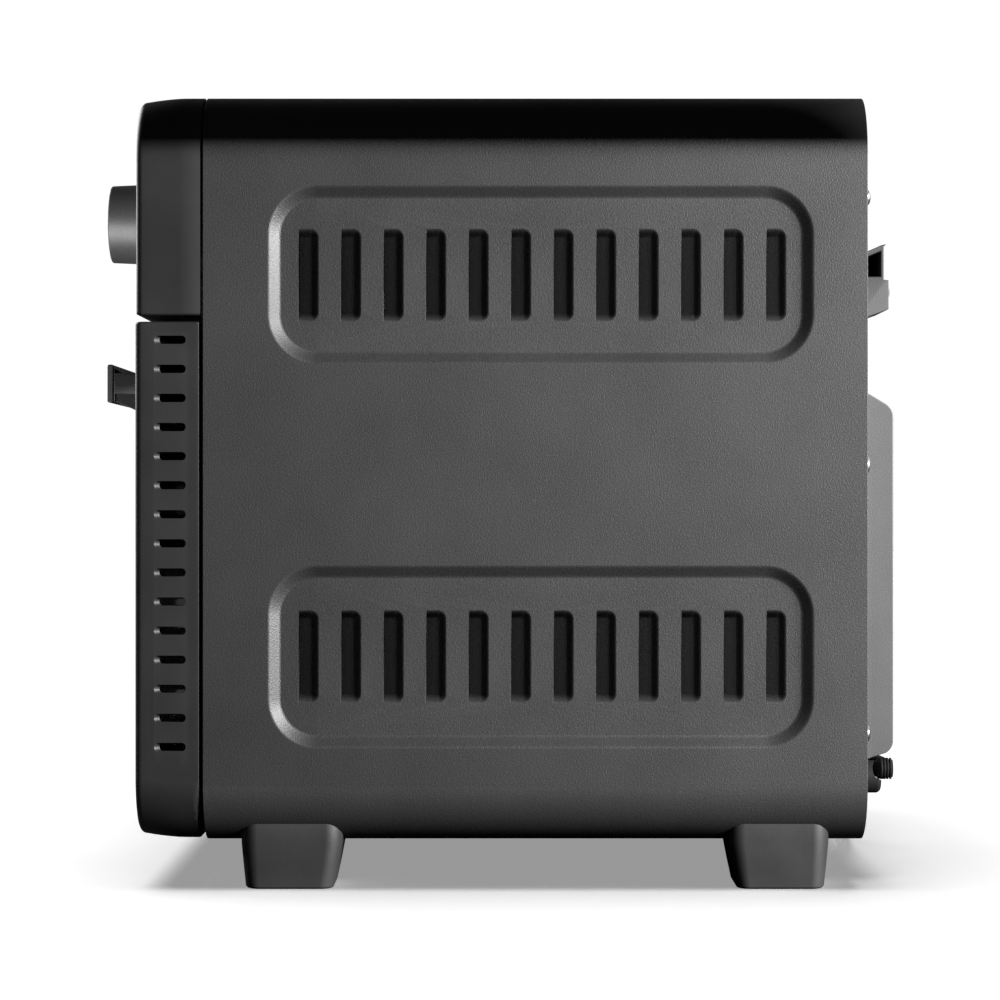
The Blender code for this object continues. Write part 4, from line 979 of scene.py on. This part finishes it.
def indicator_lens(paints):
    _, _, centre, radius = round_part("indicator_lens")
    profile = [(0.0, LENS_DOME)]
    for i in range(1, 8):
        angle = math.radians(90 * i / 8)
        profile.append((radius * math.sin(angle), LENS_DOME * math.cos(angle)))
    profile += [(radius, 0.0), (radius, -0.0060), (0.0, -0.0060)]
    place = (centre.x, PANEL_LOW.y, centre.z)
    lens = turned("pilot_lens", profile, place, (0, -1, 0), paints["lens"], 48)
    return placed(lens, 40, "root", "lens", "indicator_lens")


# ---------------- door

SLOTS = 15
SLOT_TOP = 0.2585
SLOT_PITCH = 0.01362
SLOT_FRONT = -0.1596
SLOT_REAR = -0.1448
SLOT_HALF = 0.0019
DOOR_WALL = 0.0016
REAR_LIFT = 0.0054
WINDOW = (-0.145, 0.145, 0.070, 0.212)
WINDOW_CORNER = 0.012
# How far a slot's cutter reaches in, and how far its front end has moved back there
SLOT_LEDGE = ((-0.0010, -0.0006), (0.0, 0.0), (0.0036, 0.0034), (0.0045, 0.0034))
ARM_X = 0.1630
ARM_THICKNESS = 0.0025


def door_outline(inset, drop, lift=0.0):
    corner = CORNER - inset - lift * 0.7
    return rounded(
        DOOR_LOW.x + inset,
        DOOR_HIGH.x - inset,
        DOOR_LOW.z + drop + inset + lift,
        DOOR_HIGH.z - inset * NEAR_GAP_ROUND,
        (corner, corner, 0.0012, 0.0012),
        16,
    )


def side_slot_cutters(paints):
    """Slots whose front end slopes, so that it shows as a lighter ledge."""
    bm = bmesh.new()
    for side in (-1, 1):
        for i in range(SLOTS):
            z = SLOT_TOP - i * SLOT_PITCH
            sections = []
            for depth, shift in SLOT_LEDGE:
                front = SLOT_FRONT + shift
                corners = (SLOT_HALF * 0.97,) * 4
                outline = rounded(front, SLOT_REAR, z - SLOT_HALF, z + SLOT_HALF, corners, 5)
                sections.append((side * (DOOR_HIGH.x - depth), outline))
            add_loft(bm, "X", sections)
    return simple_object("slot_cutters", bm, paints["moulding"])


def door_shell(paints):
    """The hollow moulding, as one skin from the inside of its face round its rear rim."""
    face = DOOR_LOW.y
    rear = DOOR_HIGH.y
    wall = DOOR_WALL
    sections = [
        (face + 0.0025, door_outline(wall + 0.0020, FACE_DROP)),
        (face + SHAPE_START, door_outline(wall, 0.0)),
        (rear - 0.0050, door_outline(wall, 0.0)),
        (rear, door_outline(wall, 0.0, REAR_LIFT)),
        (rear, door_outline(0.0, 0.0, REAR_LIFT)),
        (rear - 0.0016, door_outline(0.0, 0.0)),
    ]
    sections += front_sections(door_outline, face, rear - 0.0030)
    door = loft("door_moulding", "Y", sections, paints["moulding"])
    opening = rounded(*WINDOW, (WINDOW_CORNER,) * 4, 12)
    cut(door, prism("window_cutter", "Y", face - 0.002, face + 0.005, opening, paints["moulding"]))
    cut(door, side_slot_cutters(paints))
    for side in (-1, 1):
        ends = sorted((side * (ARM_X - 0.0008), side * (ARM_X + ARM_THICKNESS + 0.0008)))
        slot = rounded(*ends, 0.015, 0.0345, (0.0003,) * 4, 2)
        cut(door, prism("arm_cutter", "Y", rear - 0.0102, rear + 0.002, slot, paints["moulding"]))
    round_edges(door, 0.00022, 2, 50)
    return placed(door, 34, "door", "moulding", "door_shell")


def handle_bar(paints):
    outline = rounded(BAR_LOW.y, BAR_HIGH.y, BAR_LOW.z, BAR_HIGH.z, (0.0010,) * 4, 6)
    bar = prism("handle_grip", "X", BAR_LOW.x, BAR_HIGH.x, outline, paints["handle"])
    round_edges(bar, 0.0006, 3, 60)
    return placed(bar, 40, "door", "handle", "handle_bar")


def handle_bracket(name, paints):
    """An end bracket with a solid standoff, and a thinner web that flares down to the door."""
    node = "handle_bracket_" + name
    side = SIDES[name]
    low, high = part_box(node)
    bar = low.y
    face = high.y
    step = 0.2370
    shoulder = 0.2462
    outline = (
        (bar, BAR_LOW.z + 0.0008),
        (face, low.z),
        (face, shoulder),
        (bar + 0.0058, shoulder),
        (bar, BAR_HIGH.z - 0.0004),
    )
    made = prism(node + "_casting", "X", low.x, high.x, outline, paints["handle"])
    web = (
        (bar + 0.0006, low.z - 0.001),
        (face + 0.001, low.z - 0.001),
        (face + 0.001, step - 0.0006),
        (bar + 0.0006, step - 0.0006),
    )
    gusset = (
        (bar + 0.0004, shoulder + 0.0006),
        (bar + 0.0040, shoulder + 0.0006),
        (bar + 0.0004, BAR_HIGH.z - 0.0018),
    )
    outer = high.x if side > 0 else low.x
    for part, shape, depth in (("web", web, 0.0016), ("gusset", gusset, 0.0045)):
        ends = sorted((outer - side * depth, outer + side * 0.002))
        cut(made, prism(part + "_cutter", "X", *ends, shape, paints["handle"]))
    round_edges(made, 0.0003, 2, 40)
    return placed(made, 34, "door", "handle", node)


# ---------------- feet, rear fittings

ELBOW_RADIUS = 0.0052
ELBOW_REAR = 0.1924
# Each point of a boot's rib: its share of the pitch, and its share of the groove's depth
RIB_SHAPE = ((0.0, 0.0), (0.16, 0.25), (0.30, 0.9), (0.42, 1.0), (0.54, 0.9), (0.68, 0.25), (0.84, 0.0))
# Each section of the plug from its tail: place, half width, half height, and corner share
PLUG_SHAPE = (
    (0.0, 0.0040, 0.0040, 0.62),
    (0.002, 0.0044, 0.0044, 0.95),
    (0.005, 0.0046, 0.0046, 0.95),
    (0.0055, 0.0041, 0.0041, 0.95),
    (0.0075, 0.0041, 0.0041, 0.95),
    (0.008, 0.0050, 0.0050, 0.95),
    (0.0105, 0.0051, 0.0051, 0.95),
    (0.011, 0.0045, 0.0045, 0.95),
    (0.013, 0.0045, 0.0045, 0.95),
    (0.0135, 0.0055, 0.0054, 0.95),
    (0.018, 0.0060, 0.0058, 0.90),
    (0.021, 0.0085, 0.0076, 0.75),
    (0.024, 0.0112, 0.0092, 0.66),
    (0.028, 0.0128, 0.0099, 0.62),
    (0.034, 0.0122, 0.0094, 0.62),
    (0.040, 0.0126, 0.0096, 0.62),
    (0.044, 0.0134, 0.0100, 0.62),
    (0.0465, 0.0133, 0.0099, 0.62),
    (0.0476, 0.0127, 0.0093, 0.62),
    (0.048, 0.0115, 0.0082, 0.62),
)
BLADE_SHAPE = (
    (0.047, 0.00072, 0.0031),
    (0.0635, 0.00072, 0.0031),
    (0.0648, 0.00050, 0.0022),
)

def inset_ends(low, high, outer, inner):
    """A foot's two ends, drawn in: outer is the end away from the oven's middle."""
    if low > 0:
        return low + inner, high - outer
    return low + outer, high - inner


def foot(node, paints):
    """A tapered moulded foot with rounded corners, shaped to the body's lower edge."""
    low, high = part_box(node)
    body_low = WRAP_LOW.z
    sections = []
    levels = (
        (0.0, 0.0036, 0.0056, 0.0040, 0.0046, 0.0056),
        (0.0003, 0.0028, 0.0048, 0.0030, 0.0037, 0.0061),
        (0.0012, 0.0020, 0.0042, 0.0022, 0.0029, 0.0066),
        (body_low * 0.5, 0.0010, 0.0021, 0.0011, 0.0015, 0.0073),
        (body_low, 0.0, 0.0, 0.0, 0.0, 0.0080),
        (high.z, 0.0, 0.0, 0.0, 0.0, 0.0080),
    )
    for z, outer_y, inner_y, outer_x, inner_x, radius in levels:
        xs = inset_ends(low.x, high.x, outer_x, inner_x)
        ys = inset_ends(low.y, high.y, outer_y, inner_y)
        sections.append((z, rounded(*xs, *ys, (radius,) * 4, 10)))
    made = loft(node + "_moulding", "Z", sections, paints["plastic"])
    body = rounded(
        -SIDE_X - GAP, SIDE_X + GAP, WRAP_LOW.z - GAP, WRAP_HIGH.z, (CORNER + GAP,) * 4, 40
    )
    cut(made, prism("body_cutter", "Y", WRAP_LOW.y - 0.01, WRAP_HIGH.y + 0.01, body, paints["plastic"]))
    round_edges(made, 0.0005, 3, 50, clamp=True)
    return placed(made, 40, "root", "plastic", node)


def rear_screw(node, paints):
    """A pan head screw with a cross recess."""
    low, high, centre, radius = round_part(node)
    profile = [(0.0, 0.0021)]
    for i in range(1, 9):
        angle = math.radians(90 * i / 8)
        profile.append((radius * math.sin(angle), 0.0004 + 0.0017 * math.cos(angle)))
    profile += [(radius, 0.0), (0.0, 0.0)]
    made = turned(node + "_head", profile, (centre.x, low.y, centre.z), (0, 1, 0), paints["steel"], 40)
    for half_x, half_z in ((0.0019, 0.0004), (0.0004, 0.0019)):
        bar = rounded_about(centre, half_x, half_z, 0.0002, 2)
        cut(made, prism("cross_cutter", "Y", high.y - 0.0011, high.y + 0.001, bar, paints["steel"]))
    return placed(made, 34, "root", "steel", node)


def bumper(node, paints):
    """A rubber dome on the rear."""
    low, high, centre, radius = round_part(node)
    tall = high.y - low.y
    profile = [(0.0, tall)]
    for i in range(1, 9):
        angle = math.radians(11.25 * i)
        profile.append((radius * math.sin(angle), tall * math.cos(angle)))
    profile.append((0.0, 0.0))
    made = turned(node + "_dome", profile, (centre.x, low.y, centre.z), (0, 1, 0), paints["rubber"], 48)
    return placed(made, 50, "root", "rubber", node)


def cord_gland(paints):
    """The bushing: a domed collar, with a six-sided nut against the rear panel."""
    _, high, centre, radius = round_part("cord_gland")
    base = WRAP_HIGH.y + GAP
    length = high.y - base
    dome = 0.0024
    shoulder = radius - 0.0026
    profile = [(0.0, length), (shoulder, length)]
    for i in range(1, 7):
        angle = math.radians(90 - 15 * i)
        profile.append((shoulder + dome * math.cos(angle), length - dome + dome * math.sin(angle)))
    for sink, height in ((0.0002, 0.0043), (0.0010, 0.0040), (0.0030, 0.0038), (0.0030, 0.0)):
        profile.append((radius - sink, height))
    profile.append((0.0, 0.0))
    body = turned("gland_collar", profile, (centre.x, base, centre.z), (0, 1, 0), paints["rubber"], 64)
    relief = middle("strain_relief")
    bm = bmesh.new()
    turn = Matrix.Translation((centre.x, relief.y, relief.z)) @ Matrix.Rotation(math.pi / 2, 4, "Y")
    add_rod(bm, 0.0056, 0.024, turn)
    cut(body, simple_object("trough_cutter", bm, paints["rubber"]))
    placed(body, 34, "root", "plastic", "cord_gland")
    flats = 0.0079
    outline = []
    for i in range(6):
        angle = math.radians(30 + 60 * i)
        outline.append((centre.x + flats * math.cos(angle), centre.z + flats * math.sin(angle)))
    nut = prism("gland_nut", "Y", base, base + 0.0037, outline, paints["nut"])
    round_edges(nut, 0.0004, 2, 40)
    placed(nut, 34, "root", "plastic")


def relief_elbow(paints, end_x, z):
    """The short ribbed drum where the boot turns out of the gland."""
    gland_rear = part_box("cord_gland")[1].y
    length = ELBOW_REAR - gland_rear
    radius = ELBOW_RADIUS
    profile = [(0.0, 0.0), (radius - 0.0006, 0.0)]
    ribs = 4
    for i in range(ribs):
        start = length * i / ribs
        for share, sink in ((0.08, 0.0), (0.55, 0.0), (0.68, 0.0010), (0.92, 0.0010)):
            profile.append((radius - sink, start + share * length / ribs))
    profile += [(radius - 0.0008, length), (0.0, length)]
    place = (end_x - radius, gland_rear, z)
    return turned("relief_drum", profile, place, (0, 1, 0), paints["rubber"], 40)


def strain_relief(paints):
    """The ribbed boot, tapering from the gland to the cord."""
    low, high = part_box("strain_relief")
    centre = (low + high) / 2
    start_x = high.x - ELBOW_RADIUS
    length = start_x - low.x
    root = (high.z - low.z) / 2
    tip = 0.0040
    ribs = 7
    profile = [(0.0, 0.0), (root - 0.0012, 0.0), (root - 0.0004, -0.0004), (root, -0.0012)]
    pitch = (length - 0.014) / ribs
    for i in range(ribs):
        start = 0.011 + i * pitch
        radius = root + (tip - root) * start / length
        for along, sink in RIB_SHAPE:
            profile.append((radius - 0.0009 * sink, -start - pitch * along))
    profile += [(tip, -length + 0.0008), (tip - 0.0004, -length), (0.0, -length)]
    place = (start_x, centre.y, centre.z)
    boot = turned("strain_relief_boot", profile, place, (1, 0, 0), paints["rubber"], 40)
    cut(boot, relief_elbow(paints, high.x, centre.z), "UNION")
    return placed(boot, 50, "root", "rubber", "strain_relief")


def power_plug(paints):
    """A moulded two-blade plug with a ribbed tail."""
    low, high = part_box("power_plug")
    centre = (low + high) / 2
    tail = high.y
    sections = []
    for along, half_x, half_z, share in PLUG_SHAPE:
        corner = min(half_x, half_z) * share
        sections.append((tail - along, rounded_about(centre, half_x, half_z, corner, 8)))
    body = loft("plug_body", "Y", sections, paints["rubber"])
    placed(body, 40, "root", "rubber", "power_plug")
    bm = bmesh.new()
    for offset in (-0.0064, 0.0064):
        sections = []
        for along, half_x, half_z in BLADE_SHAPE:
            outline = rounded(
                centre.x + offset - half_x, centre.x + offset + half_x,
                centre.z - half_z, centre.z + half_z, (0.0004,) * 4, 3,
            )
            sections.append((tail - along, outline))
        add_loft(bm, "Y", sections)
    blades = simple_object("plug_blades", bm, paints["steel"])
    placed(blades, 34, "root", "steel")
    return body, blades


# ---------------- inside the oven


def wire_rack(paints):
    """A frame rod bent to a rectangle, with cross wires welded to it."""
    low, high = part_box("wire_rack")
    rod = (high.z - low.z) / 2
    z = (low.z + high.z) / 2
    left, right = low.x + rod, high.x - rod
    front, rear = low.y + rod, high.y - rod
    loop = [(x, y, z) for x, y in rounded(left, right, front, rear, (0.010,) * 4, 8)]
    frame_rod = wire("rack_frame", [(loop, True)], rod, paints["chrome"], 5)
    stand_for(frame_rod, "rack", "chrome", "wire_rack")
    wires = []
    count = 13
    for i in range(count):
        x = (right - 0.022) * (2 * i / (count - 1) - 1)
        ends = (front - 0.0004, front + 0.004, rear - 0.004, rear + 0.0004)
        wires.append(([(x, y, z) for y in ends], False))
    grid = wire("rack_wires", wires, 0.0013, paints["chrome"], 4)
    stand_for(grid, "rack", "chrome")


def heating_element(node, paints):
    """A sheathed rod with a stepped ceramic end against each wall."""
    low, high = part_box(node)
    centre = (low + high) / 2
    end = high.x
    collar = (high.z - low.z) / 2
    rod = 0.0040
    reach = end - 0.012
    place = (0.0, centre.y, centre.z)
    sheath = turned(
        node + "_sheath",
        [(0.0, reach), (rod, reach), (rod, -reach), (0.0, -reach)],
        place, (1, 0, 0), paints["element"], 40,
    )
    placed(sheath, 34, "root", "element", node)
    for name, side in SIDES.items():
        profile = [
            (0.0, end), (collar - 0.0005, end), (collar, end - 0.0005), (collar, reach + 0.0046),
            (collar - 0.0006, reach + 0.0040), (collar - 0.0012, reach + 0.0036),
            (collar - 0.0012, reach + 0.0004), (collar - 0.0016, reach), (0.0, reach),
        ]
        cap = turned(node + "_end_" + name, profile, place, (side, 0, 0), paints["ceramic"], 40)
        placed(cap, 34, "root", "element")


# ---------------- CAD solids with rounded edges

REFINED = {
    "base_plate": ("galvanised", 0.0002),
    "rear_panel": ("galvanised", 0.0002),
    "rear_cover": ("cover", 0.0006),
    **{"wall_spacer_" + side: ("spacer", 0.0004) for side in SIDES},
    "front_frame": ("galvanised", 0.0002),
    "cavity_liner": ("enamel", 0.0003),
    "crumb_tray": ("galvanised", 0.0),
    "fan": ("steel", 0.0002),
    "fan_motor": ("galvanised", 0.0005),
    "fan_guard": ("galvanised", 0.0002),
    "thermostat": ("galvanised", 0.0004),
    "function_switch": ("galvanised", 0.0004),
    "timer": ("galvanised", 0.0004),
    "door_back_plate": ("galvanised", 0.0002),
    "door_glass_outer": ("glass", 0.0003),
    "door_glass_inner": ("clear", 0.0003),
    **{"hinge_pin_" + side: ("steel", 0.0002) for side in SIDES},
    **{"hinge_bracket_" + side: ("steel", 0.0002) for side in SIDES},
}
KEPT = (
    "shaft_temperature", "shaft_function", "shaft_timer", "hinge_spring_left", "hinge_spring_right",
)
SLOT_OF = {"clear": "glass", "spacer": "cover"}
CLIP_LOW = 0.2902


def darken_clip(spacer, finish):
    """Gives the upright clip above a spacer's block a black finish."""
    mesh = spacer.data
    mesh.materials.append(finish)
    for face in mesh.polygons:
        lowest = min(mesh.vertices[index].co.z for index in face.vertices)
        if lowest > CLIP_LOW:
            face.material_index = 1


def refine_all(paints):
    for node, (finish, width) in REFINED.items():
        made = refined(node, paints[finish], SLOT_OF.get(finish, finish), width)
        if node.startswith("wall_spacer"):
            darken_clip(made, paints["rubber"])
    for node in KEPT:
        mesh = NODES[node].data
        mesh.materials.clear()
        mesh.materials.append(paints["steel"])


# ---------------- assembly


def main():
    add_camera()
    paints = make_paints()
    cord = power_cord(paints)
    plug, blades = power_plug(paints)
    boot = strain_relief(paints)
    outer_wrap(paints)
    control_panel(paints)
    indicator_lens(paints)
    dial_marks(paints)
    for name in DIALS:
        knob(name, paints)
    door_shell(paints)
    handle_bar(paints)
    for name in SIDES:
        handle_bracket(name, paints)
        bumper("bumper_" + name, paints)
        for end in ("front", "rear"):
            foot("foot_" + end + "_" + name, paints)
        for index in (1, 2, 3):
            rear_screw("rear_screw_" + name + "_" + str(index), paints)
    cord_gland(paints)
    wire_rack(paints)
    for level in ("lower", "upper"):
        for end in ("front", "rear"):
            heating_element("element_" + level + "_" + end, paints)
    refine_all(paints)
    add_stage()


main()
